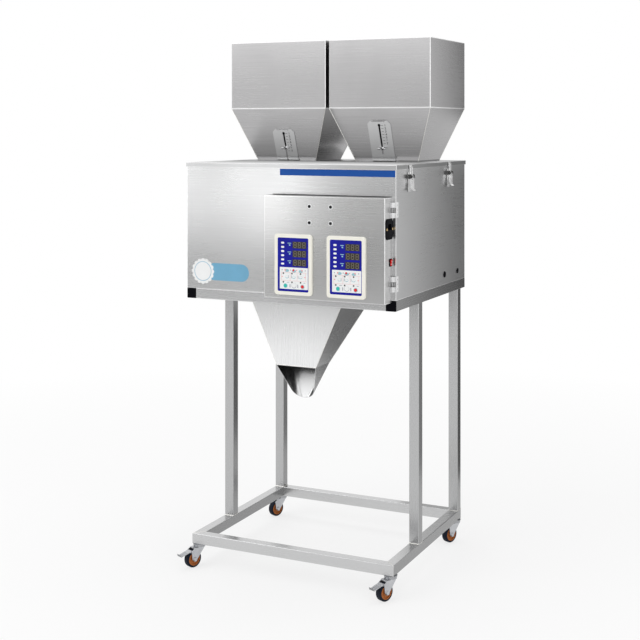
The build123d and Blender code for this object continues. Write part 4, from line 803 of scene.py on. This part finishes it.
@dataclass
class Meter:
    """The printed face of one meter on the control box, with its unlit digits.

    Its layout is in millimetres from the upper left corner. A row of marks is its ink, the middles of
    the marks, their width and height with the radius of their corners, or else the radius of round ones
    with their height over their width, and the layers of ink that lie under them.
    """

    name: str
    middle_x: float
    middle_z: float = 0.9105
    face_y: float = -0.319
    width: float = 0.095
    height: float = 0.149
    ink: float = 0.0002
    first_digit: Pair = (54.0, 19.5)
    digit_pitch: float = 13.6
    window_pitch: float = 24.5
    key_lines: tuple[float, ...] = (12.0, 39.0, 60.5, 86.5)
    key_middles: tuple[float, ...] = (29.0, 50.0, 71.0)
    dot_columns: tuple[float, ...] = (18.0, 44.5, 71.0)

    def print_rows(self, rows: Iterable[Marks]) -> list[Piece]:
        """Print rows of marks.

        Args:
            rows: The rows, in order.

        Returns:
            The marks.
        """
        made = []
        for finish, middles, size, shape, layers in rows:
            for across, down in middles:
                place = (self.middle_x - self.width / 2 + across * MM, self.face_y - layers * self.ink,
                         self.middle_z + self.height / 2 - down * MM)
                start = (Facing.FRONT, finish, place)
                if isinstance(size, tuple):
                    size_m = (size[0] * MM, size[1] * MM)
                    made.append(Workshop.plate(*start, size_m, self.ink, shape * MM))
                else:
                    made.append(Workshop.button(*start, size * MM, self.ink, 0.06, shape))
        return made

    def digits(self) -> None:
        """Make the unlit segments of three windows of three digits."""
        corner = [(0.0, 0.0)]
        upright, level = self.print_rows(((Finish.SEGMENT, corner, (1.5, 6.2), 0.7, 0),
                                          (Finish.SEGMENT, corner, (6.2, 1.5), 0.7, 0)))
        segments = []
        for row in range(3):
            for column in range(3):
                across, down = (self.first_digit[0] + column * self.digit_pitch,
                                self.first_digit[1] + row * self.window_pitch)
                for pattern, steps in ((upright, [(x, z) for x in (-3.7, 3.7) for z in (-3.6, 3.6)]),
                                       (level, [(0.0, z) for z in (-7.2, 0.0, 7.2)])):
                    moves = [((across + x) * MM, 0.0, (z - down) * MM) for x, z in steps]
                    segments += Workshop.copies(pattern, moves)
        for pattern in (upright, level):
            bpy.data.objects.remove(pattern)
        Workshop.join(segments, f"{self.name}_digits", "door")

    def legends(self) -> None:
        """Print the marks beside the windows and down the left edge."""
        windows = [15.0 + row * self.window_pitch for row in range(3)]
        pieces = self.print_rows((
            (Finish.WHITE, [(15.5, 14.5 + row * 11.6) for row in range(6)], (9.5, 5.4), 2.4, 0),
            (Finish.PALE, [(36.5, down) for down in windows], (11.0, 1.8), 0.5, 0),
            (Finish.PALE, [(37.5, down + 5.2) for down in windows], (4.2, 3.8), 0.8, 0)))
        Workshop.join(pieces, f"{self.name}_legends", "door")

    def keypad(self) -> None:
        """Print the white key field with its lights, keys and lines."""
        pieces = self.print_rows((
            (Finish.WHITE, [(50.0, 112.0)], (86.5, 60.0), 1.5, 0),
            (Finish.PALE, [(29.0, 91.0), (50.5, 92.0), (71.5, 92.0)], 6.5, 0.62, 1),
            (Finish.ROSE, [(23.5, 89.5), (75.5, 89.5)], 2.4, 1.0, 2),
            (Finish.SIGNAL, [(49.0, 89.5)], 3.0, 1.0, 2),
            (Finish.ROSE, [(59.0, 89.5)], 1.8, 1.0, 2),
            (Finish.GREY, [(14.0, 89.5), (40.0, 89.5), (85.5, 89.5)], 1.7, 1.0, 2),
            (Finish.INK, [(across, 99.0) for across in self.dot_columns], 2.3, 1.0, 2),
            (Finish.INK, [(across, 123.0) for across in self.dot_columns], 2.3, 1.0, 2),
            (Finish.PALE, [(across, 109.0) for across in self.key_middles], 5.4, 0.7, 1),
            (Finish.WHITE, [(across, 108.4) for across in self.key_middles], 4.6, 0.62, 2),
            (Finish.ROSE, [(50.0, 96.0), (50.0, 119.0)], (78.0, 0.5), 0.0, 1),
            (Finish.ROSE, [(across, 107.5) for across in self.key_lines], (0.5, 23.0), 0.0, 1),
            (Finish.ROSE, [(14.5, 108.0), (84.5, 108.0)], (4.0, 2.2), 0.6, 2),
            (Finish.GREY, [(34.0, 108.0), (43.0, 108.0), (63.5, 108.0)], (1.6, 8.0), 0.4, 2),
            (Finish.GREY, [(32.5, 123.5)], (8.0, 1.8), 0.4, 2),
            (Finish.GREY, [(83.0, 123.5)], (6.0, 1.8), 0.4, 2),
            (Finish.PALE, [(24.5, 133.2)], 6.4, 1.0, 1),
            (Finish.TEAL, [(24.0, 133.0)], 4.9, 1.0, 2),
            (Finish.GREY, [(50.5, 132.0)], 7.6, 1.0, 1),
            (Finish.WHITE, [(50.5, 131.2)], 6.6, 1.0, 2),
            (Finish.PALE, [(77.0, 134.2)], 6.2, 1.0, 1),
            (Finish.SIGNAL, [(76.5, 134.0)], 4.7, 1.0, 2),
            (Finish.GREY, [(38.5, 133.0), (62.5, 133.0)], (3.2, 9.0), 0.8, 1)))
        Workshop.join(pieces, f"{self.name}_keypad", "door")

    def build(self) -> None:
        """Make everything on the face."""
        self.digits()
        self.legends()
        self.keypad()


@dataclass
class DoorFittings:
    """The black strips painted as shadow round the door, and the screws, washers and marks of the control
    box.
    """

    shadow_strips_low: Pair = (-0.0468, 0.8145)
    shadow_strips_high: Pair = (0.318, 1.1023)
    shadow_width: float = 0.003
    screw_x: Pair = (0.0955, 0.16)
    screw_z: Pair = (1.028, 1.073)
    washer_radius: float = 0.0068
    inlet: Pair = (-0.286, 1.016)
    inlet_flange: float = 0.003
    inlet_screw: float = 0.02
    screw_height: float = 0.0014
    switch: Pair = (-0.274, 0.925)
    rocker_tilt: float = math.radians(8.0)
    rocker_dish: float = math.atan2(1.5, 7.75)

    def shadow_strips(self) -> None:
        """Lay thin black strips in the gap between the cabinet and the door, showing just past three of the
        door's sides: a painted shadow round the door.
        """
        (left, low), (right, high), half = self.shadow_strips_low, self.shadow_strips_high, self.shadow_width / 2
        middle_x, middle_z = (left + right) / 2, (low + high) / 2
        strips = (((left + half, middle_z), (self.shadow_width, high - low)),
                  ((middle_x, high - half), (right - left, self.shadow_width)),
                  ((middle_x, low + half), (right - left, self.shadow_width)))
        # Black strips that stand in for the shadow round the door.
        shadow_pieces = [Workshop.plate(Facing.FRONT, Finish.RUBBER, (x, CABINET_FRONT, z), size, SKIN)
                for (x, z), size in strips]
        Workshop.join(shadow_pieces, "door_shadow_strips", "stand")

    def washers(self) -> None:
        """Lay a bright washer under each mounting screw."""
        rings = [Workshop.button(Facing.FRONT, Finish.WHITE, (x, DOOR_FRONT, z), self.washer_radius, 0.0009,
                                 0.12, sides=28) for x in self.screw_x for z in self.screw_z]
        Workshop.join(rings, "mount_washers", "door")

    def inlet_screws(self) -> None:
        """Fix the inlet's flange with two slotted brass screws."""
        heads = []
        for way in (-1, 1):
            x, y, z = DOOR_SIDE + self.inlet_flange, self.inlet[0] + way * self.inlet_screw, self.inlet[1]
            foot, slot = (x, y, z), (x + self.screw_height - 0.00005, y, z)
            heads.append(Workshop.button(Facing.RIGHT, Finish.BRASS, foot, 0.0035, self.screw_height, 0.35))
            heads.append(Workshop.plate(Facing.RIGHT, Finish.INK, slot, (0.0042, 0.0008), 0.0001))
        Workshop.join(heads, "inlet_screws", "door")

    def rocker_marks(self) -> None:
        """Mould the I and the O in the two halves of the red rocker."""
        tilt, dish = self.rocker_tilt, self.rocker_dish
        pivot = Vector((DOOR_SIDE + 0.002, *self.switch))
        upward = Vector((math.sin(tilt), 0.0, math.cos(tilt)))
        outward = Vector((math.cos(tilt), 0.0, -math.sin(tilt)))
        marks = []
        for way in (1, -1):
            along = upward * math.cos(dish) + outward * math.sin(dish) * way
            out = outward * math.cos(dish) - upward * math.sin(dish) * way
            middle = pivot + outward * 0.0005 + along * 0.0041 * way
            facing = Matrix((Vector((0.0, 1.0, 0.0)), along, out)).transposed()
            if way > 0:
                marks.append(Workshop.plate(facing, Finish.WHITE, middle, (0.0008, 0.0034), 0.0001, 0.0003))
            else:
                marks.append(Workshop.button(facing, Finish.WHITE, middle, 0.0018, 0.0001, 0.1))
                above = middle + out * 0.00008
                marks.append(Workshop.button(facing, Finish.RED, above, 0.0011, 0.00006, 0.1))
        Workshop.join(marks, "rocker_marks", "rocker")

    def build(self) -> None:
        """Make all the fittings."""
        self.shadow_strips()
        self.washers()
        self.inlet_screws()
        self.rocker_marks()


@dataclass
class Latches:
    """The rivets of the four toggle latches and their keepers."""

    places: Pair = (-0.1609, 0.1608)
    apart: float = 0.0085

    def build(self) -> None:
        """Rivet each base twice at its foot and each keeper twice."""
        rivets = ((0.3312, 1.1165, 0.002, 0.0009), (0.3342, 1.1785, 0.0015, 0.0007))
        heads = [Workshop.button(facing, Finish.ZINC, (side * x, place + way * self.apart, z), radius, height,
                                 0.5, sides=12)
                 for side, facing in ((1, Facing.RIGHT), (-1, Facing.LEFT)) for place in self.places
                 for way in (-1, 1) for x, z, radius, height in rivets]
        Workshop.join(heads, "latch_rivets", "stand")


@dataclass
class GateMarks:
    """The scale beside a gate plate's slot, and black pieces that paint shade in the slot and its keyhole,
    placed in millimetres.
    """

    hand: str
    side: int
    top_down: float
    first_down: float = 15.5
    pitch: float = 9.6
    count: int = 7
    line: Pair = (7.0 * MM, 1.0 * MM)
    line_across: float = 9.5
    figure_across: float = 19.0
    figure_size: float = 9.0
    surface: float = 0.0018
    keyhole_down: float = 15.0
    keyhole_radius: float = 5.6
    slot_width: float = 6.4
    slot_down: float = 123.0

    def at(self, across: float, down: float, out: float) -> Vector:
        """Turn millimetres from the middle of the plate's upper edge into a place.

        Args:
            across: Millimetres to the right.
            down: Millimetres down the slope.
            out: Metres out of the hopper's face.

        Returns:
            The place.
        """
        origin = Vector((self.side * 0.162, HOPPER_FRONT, TAPER_TOP))
        return origin + Facing.SLOPE.value @ Vector((across * MM, -(self.top_down + down) * MM, out))

    def number(self, text: str, down: float) -> Piece:
        """Print a figure of the scale.

        Args:
            text: The figure.
            down: How far down the plate it stands, in millimetres.

        Returns:
            The figure.
        """
        Workshop.select_only()
        bpy.ops.object.text_add()
        figure = bpy.context.active_object
        figure.data.body = text
        figure.data.size = self.figure_size * MM
        figure.data.offset = 0.25 * MM
        figure.data.extrude = 0.06 * MM
        figure.data.align_x = "CENTER"
        figure.data.align_y = "CENTER"
        Workshop.select_only(figure)
        bpy.ops.object.convert(target="MESH")
        figure = bpy.context.active_object
        place = self.at(self.figure_across, down, self.surface)
        figure.matrix_world = Matrix.Translation(place) @ Facing.SLOPE.value.to_4x4()
        return Workshop.settle(figure, MATERIALS[Finish.INK])

    def build(self) -> None:
        """Make the scale, and the black strip and round disc that paint shade in the slot and its keyhole."""
        pieces = []
        for step in range(self.count):
            down = self.first_down + step * self.pitch
            place = self.at(self.line_across, down, self.surface)
            pieces.append(self.number(str(step + 1), down))
            pieces.append(Workshop.plate(Facing.SLOPE, Finish.INK, place, self.line, 0.00008))
        Workshop.join(pieces, f"gate_scale_{self.hand}", f"gate_plate_{self.hand}")
        # Painted shade: a thin black strip along the slot and a black disc in the keyhole, fixed to the
        # stand.
        first, last, lift = self.top_down + self.keyhole_down, self.slot_down, 0.00002
        middle = self.at(0.0, (first + last) / 2 - self.top_down, lift)
        size = (self.slot_width * MM, (last - first) * MM)
        slot_shade = Workshop.plate(Facing.SLOPE, Finish.RUBBER, middle, size, 0.00016)
        keyhole_shade = Workshop.button(Facing.SLOPE, Finish.RUBBER, self.at(0.0, self.keyhole_down, lift),
                              self.keyhole_radius * MM, 0.00018, 0.02, sides=24)
        Workshop.join([slot_shade, keyhole_shade], f"slot_liner_{self.hand}", "stand")


@dataclass
class Welds:
    """The bright seams where tubes, hoppers and the funnel are welded."""

    taper_seam: float = 0.0009
    thin_seam: float = 0.0007
    leg_seam: float = 0.0012
    funnel_top: float = 0.819
    funnel_foot: float = 0.607
    leg: float = 0.304
    leg_half: float = 0.0148

    def hoppers(self) -> None:
        """Weld the slanted corners of both tapers."""
        pieces = [Workshop.bead((side * HOPPER_X + across * 0.1624, 0.16 + along * 0.1534, TAPER_TOP),
                                (side * HOPPER_X + across * 0.1006, 0.16 + along * 0.0916, 1.188),
                                self.taper_seam)
                  for side in (-1, 1) for across in (-1, 1) for along in (-1, 1)]
        Workshop.join(pieces, "hopper_seams", "stand")

    def funnel(self) -> None:
        """Weld the slanted corners of the funnel, and the fold at the foot of its front."""
        top, foot = self.funnel_top, self.funnel_foot
        runs = [((-0.0639, -0.2054, foot), (0.0639, -0.2054, foot))]
        for side in (-1, 1):
            runs.append(((side * 0.1567, -0.2052, top), (side * 0.0637, -0.2052, foot)))
            runs.append(((side * 0.1563, 0.0449, top), (side * 0.0633, -0.1125, foot)))
        pieces = [Workshop.bead(start, stop, self.thin_seam) for start, stop in runs]
        Workshop.join(pieces, "funnel_seams", "stand")

    def frame_corners(self) -> None:
        """Weld the mitres of the lower frame, and the legs to both frames."""
        pieces = []
        for side in (-1, 1):
            for end in (-1, 1):
                for z in (0.096, 0.066):
                    pieces.append(Workshop.bead((side * 0.3178, 0.0315 + end * 0.2788, z),
                                                (side * 0.2895, 0.0315 + end * 0.2505, z), self.thin_seam))
            for y in (-0.0415, 0.2965):
                for z in (0.0965, 0.7895):
                    corners = [(side * self.leg + across * self.leg_half, y + along * self.leg_half, z)
                               for across, along in ((-1, -1), (1, -1), (1, 1), (-1, 1))]
                    pieces += [Workshop.bead(corners[i - 1], corners[i], self.leg_seam) for i in range(4)]
        Workshop.join(pieces, "stand_seams", "stand")

    def build(self) -> None:
        """Run all the seams."""
        self.hoppers()
        self.funnel()
        self.frame_corners()


@dataclass
class Rollers:
    """The bearing caps of the four wheels."""

    reach: float = 0.006
    radius: float = 0.0085
    height: float = 0.0022

    def build(self) -> None:
        """Cap both sides of each hub."""
        for name in WHEELS:
            caps = []
            for out in (-CASTER_AXLE, CASTER_AXLE):
                facing = Matrix((UP.cross(out), UP, out)).transposed()
                foot = middle_of(name) + out * self.reach
                caps.append(Workshop.button(facing, Finish.ZINC, foot, self.radius, self.height, 0.25,
                                            sides=24))
            Workshop.join(caps, name.replace("wheel", "bearing_caps"), name.replace("wheel", "roller"))


@dataclass
class PedalRibs:
    """The pressed grip ribs on the treads of the two brake pedals."""

    droop: float = math.radians(15.0)
    caster: Pair = (0.304, -0.2335)
    heel: Pair = (0.03355, 0.0508)
    rows: tuple[float, ...] = (0.016, 0.021, 0.026, 0.031)
    size: Pair = (0.014, 0.0018)
    height: float = 0.0006
    corner: float = 0.0008
    bevel: float = 0.0003

    def build(self) -> None:
        """Press the ribs across both treads."""
        forward = CASTER_AXLE.cross(UP)
        tread = forward * math.cos(self.droop) - UP * math.sin(self.droop)
        out = forward * math.sin(self.droop) + UP * math.cos(self.droop)
        facing = Matrix((CASTER_AXLE, out.cross(CASTER_AXLE), out)).transposed()
        for hand, side in (("left", -1), ("right", 1)):
            pin = Vector((side * self.caster[0], self.caster[1], 0.0))
            heel = pin + forward * self.heel[0] + UP * self.heel[1]
            ribs = [Workshop.plate(facing, Finish.ZINC, heel + tread * row, self.size, self.height,
                                   self.corner, self.bevel) for row in self.rows]
            Workshop.join(ribs, f"pedal_ribs_{hand}", f"pedal_{hand}")


@dataclass
class HingeScrews:
    """The countersunk screws of the hinge leaves on the cabinet's side."""

    leaf_x: float = 0.3312
    leaf_y: float = -0.2505
    heights: tuple[float, ...] = (0.8515, 0.8645, 0.8775, 1.053, 1.066, 1.079)
    radius: float = 0.0021

    def build(self) -> None:
        """Put three heads in each fixed leaf."""
        heads = [Workshop.button(Facing.RIGHT, Finish.ZINC, (self.leaf_x, self.leaf_y, z), self.radius,
                                 0.0003, 0.3, sides=14) for z in self.heights]
        Workshop.join(heads, "hinge_screws", "stand")


@dataclass
class Labels:
    """The blank labels on the front of the cabinet."""

    seal: Pair = (-0.2767, 0.8708)
    seal_radius: float = 0.031
    lobes: int = 16
    lobe_radius: float = 0.0068

    @staticmethod
    def patch(finish: Finish, middle: Pair, size: Pair, corner: float) -> Piece:
        """Stick a patch with rounded corners on the cabinet's front."""
        return Workshop.plate(Facing.FRONT, finish, (middle[0], CABINET_FRONT, middle[1]), size, SKIN, corner)

    def disc(self, finish: Finish, radius: float, out: float, height: float, crown: float) -> Piece:
        """Make one disc of the seal.

        Args:
            finish: Its finish.
            radius: Its radius.
            out: Where its back lies, in thicknesses of a label from the cabinet.
            height: How far it stands out, in the same measure.
            crown: The part of the radius that its shoulder takes.

        Returns:
            The disc.
        """
        foot = (self.seal[0], CABINET_FRONT - out * SKIN, self.seal[1])
        return Workshop.button(Facing.FRONT, finish, foot, radius, height * SKIN, crown, sides=48)

    def build(self) -> None:
        """Stick the plain blue strip under the lid, and the plain pill shaped tag with the scalloped seal."""
        strip = self.patch(Finish.STRIP, (0.152, 1.1642), (0.352, 0.0185), 0.001)
        Workshop.join([strip], "front_strip", "stand")
        pieces = [self.patch(Finish.TAG, (-0.193, 0.871), (0.138, 0.05), 0.024)]
        for step in range(self.lobes):
            angle = step * math.tau / self.lobes
            middle = (self.seal[0] + self.seal_radius * math.cos(angle), CABINET_FRONT - SKIN,
                      self.seal[1] + self.seal_radius * math.sin(angle))
            pieces.append(Workshop.button(Facing.FRONT, Finish.WHITE, middle, self.lobe_radius, SKIN, 0.05,
                                          sides=14))
        pieces.append(self.disc(Finish.WHITE, self.seal_radius, 1.0, 1.2, 0.02))
        pieces.append(self.disc(Finish.TAG, 0.0285, 2.0, 0.8, 0.01))
        pieces.append(self.disc(Finish.WHITE, 0.027, 2.6, 0.8, 0.01))
        Workshop.join(pieces, "front_seal", "stand")


@dataclass
class Studio:
    """The floor, the light and the camera, at the photograph's viewing angle."""

    focal_pixels: float = 1230.82
    image_pixels: float = 640.0
    yaw: float = 25.42
    horizon_pixels: float = 127.47
    camera_place: Point = (1.5763, -3.361, 1.2903)
    sensor: float = 36.0
    daylight: float = 0.55
    floor_radius: float = 300.0
    floor_grey: Colour = (0.86, 0.86, 0.86)

    def camera(self) -> None:
        """Place the camera, level, with its frame shifted down."""
        data = bpy.data.cameras.new("camera")
        data.sensor_width = self.sensor
        data.lens = self.focal_pixels / self.image_pixels * self.sensor
        data.shift_y = (self.horizon_pixels - self.image_pixels / 2) / self.image_pixels
        camera = bpy.data.objects.new("camera", data)
        camera.location = self.camera_place
        camera.rotation_euler = (math.radians(90.0), 0.0, math.radians(self.yaw))
        bpy.context.collection.objects.link(camera)
        bpy.context.scene.camera = camera

    def world(self) -> None:
        """Light all round, and show white to the camera and in mirrors."""
        world = bpy.data.worlds.new("studio")
        world.use_nodes = True
        bpy.context.scene.world = world
        sheet = NodeSheet(world.node_tree)
        sheet.link(sheet.span(sheet.seen(), 0.0, 1.0, self.daylight, 1.0), "Background", "Strength")
        sheet.tree.nodes["Background"].inputs["Color"].default_value = WHITE_LIGHT

    def floor(self) -> None:
        """Lay a pale floor that keeps the machine's shadow, and that is white where it is far away."""
        Workshop.select_only()
        bpy.ops.mesh.primitive_circle_add(vertices=96, radius=self.floor_radius, fill_type="NGON",
                                          location=(0.0, 0.0, -0.0005))
        floor = bpy.context.active_object
        floor.name = floor.data.name = "floor"
        material, sheet = new_material("pale floor")
        shader = sheet.tree.nodes["Principled BSDF"]
        shader.inputs["Base Color"].default_value = (*self.floor_grey, 1.0)
        shader.inputs["Roughness"].default_value = 0.9
        share = sheet.span(sheet.vectors("LENGTH", sheet.place()), 0.5, 3.0, 0.72, 1.0)
        mask = sheet.maths("MULTIPLY", sheet.seen(), share)
        mixed = sheet.add("MixShader", {0: mask, 1: shader.outputs[0], 2: sheet.glow(1.0)})
        sheet.link(mixed.outputs[0], "Material Output", "Surface")
        Workshop.settle(floor, material)

    @staticmethod
    def card(name: str, place: Point, aim: Point, size: Pair, along: int, stops: Sequence[Pair]) -> None:
        """Hang a graded grey card that only mirrors see.

        Args:
            name: Its name.
            place: Its middle.
            aim: Where it faces.
            size: Its width and height.
            along: The axis that its shade follows: 0 for X, 1 for Y, 2 for Z.
            stops: Places on that axis, each with its brightness, in order. White is 1.
        """
        Workshop.select_only()
        turn = (Vector(aim) - Vector(place)).to_track_quat("Z", "Y").to_euler()
        bpy.ops.mesh.primitive_plane_add(size=1.0, location=place, rotation=turn)
        card = bpy.context.active_object
        card.name = card.data.name = name
        card.scale = (*size, 1.0)
        material, sheet = new_material(name)
        reach = sheet.parts(sheet.place())[along]
        shade = stops[0][1]
        for (low, before), (high, after) in zip(stops, stops[1:]):
            shade = sheet.maths("ADD", shade, sheet.span(reach, low, high, 0.0, after - before))
        sheet.link(sheet.glow(shade), "Material Output", "Surface")
        Workshop.settle(card, material)
        card.visible_camera = False
        card.visible_diffuse = False
        card.visible_shadow = False
        card.visible_transmission = False

    def cards(self) -> None:
        """Hang what the steel mirrors: dark and bright bands at the machine's height, behind and in front."""
        self.card("card behind", (1.0, 0.95, 0.62), (1.0, -1.0, 0.62), (1.3, 1.25), 0,
                  ((0.42, 0.5), (0.52, 0.03), (0.6, 0.05), (0.95, 1.1)))
        self.card("card behind high", (1.0, 0.95, 1.925), (1.0, -1.0, 1.925), (1.3, 1.35), 0,
                  ((0.42, 0.5), (0.5, 0.1), (0.58, 0.08), (0.72, 1.3)))
        self.card("card behind low", (0.17, 0.95, 0.3), (0.17, -1.0, 0.3), (0.6, 0.5), 0,
                  ((0.1, 0.5), (0.3, 0.03)))
        self.card("card in front", (-0.75, -1.6, 1.325), (-0.75, 0.0, 1.325), (1.9, 1.65), 2,
                  ((0.5, 0.85), (0.58, 0.7), (0.64, 0.25), (0.8, 0.28), (1.15, 0.8), (1.35, 0.5), (1.5, 0.6),
                   (1.8, 1.8)))
        self.card("glow in front", (-0.95, -1.58, 1.04), (-0.95, 0.0, 1.04), (0.9, 0.36), 0,
                  ((-1.3, 2.8), (-1.1, 1.9), (-0.97, 0.6), (-0.86, 1.0), (-0.76, 4.6), (-0.68, 4.0),
                   (-0.6, 1.0)))
        self.card("glow low", (-0.72, -1.58, 0.32), (-0.72, 0.0, 0.32), (0.4, 0.24), 0,
                  ((-0.9, 1.5), (-0.7, 1.8)))
        self.card("shade over lid", (0.0, -0.1, 1.1905), (0.0, -0.1, 3.0), (0.64, 0.3), 1,
                  ((-0.2, 1.1), (0.03, 0.42)))
        self.card("shade between tapers", (0.0, 0.16, 1.27), (1.0, 0.16, 1.27), (0.36, 0.15), 2,
                  ((1.2, 0.1), (1.34, 0.5)))
        self.card("glow beside taper", (0.475, 0.45, 1.192), (0.475, 0.45, 3.0), (0.55, 0.8), 1,
                  ((0.0, 0.7), (0.8, 1.0)))

    @staticmethod
    def lamp(name: str, place: Point, aim: Point, size: float, power: float) -> None:
        """Hang a soft square lamp.

        Args:
            name: Its name.
            place: Where it hangs.
            aim: Where it points.
            size: Its width.
            power: Its watts.
        """
        data = bpy.data.lights.new(name, "AREA")
        data.size = size
        data.energy = power
        lamp = bpy.data.objects.new(name, data)
        lamp.location = place
        lamp.rotation_euler = (Vector(place) - Vector(aim)).to_track_quat("Z", "Y").to_euler()
        bpy.context.collection.objects.link(lamp)

    def build(self) -> None:
        """Set up the whole studio."""
        bpy.context.scene.view_settings.view_transform = "Standard"
        self.camera()
        self.world()
        self.floor()
        self.cards()
        self.lamp("key", (-2.2, -3.0, 3.4), (0.0, 0.0, 0.9), 4.0, 80.0)
        self.lamp("fill", (3.0, -2.4, 1.8), (0.0, 0.0, 0.8), 3.0, 30.0)
        self.lamp("top", (0.0, 0.6, 4.2), (0.0, 0.0, 1.0), 3.4, 50.0)


def main() -> None:
    """Dress the CAD nodes, make the small pieces and set up the studio."""
    logging.basicConfig(level=logging.INFO, format="%(message)s")
    Wardrobe.dress()
    for assembly in (Meter("meter_left", 0.04775), Meter("meter_right", 0.20775), DoorFittings(), Latches(),
                     GateMarks("left", -1, 67.0), GateMarks("right", 1, 40.5), Welds(), Rollers(),
                     PedalRibs(), HingeScrews(), Labels(), Studio()):
        assembly.build()


if __name__ == "__main__":
    main()
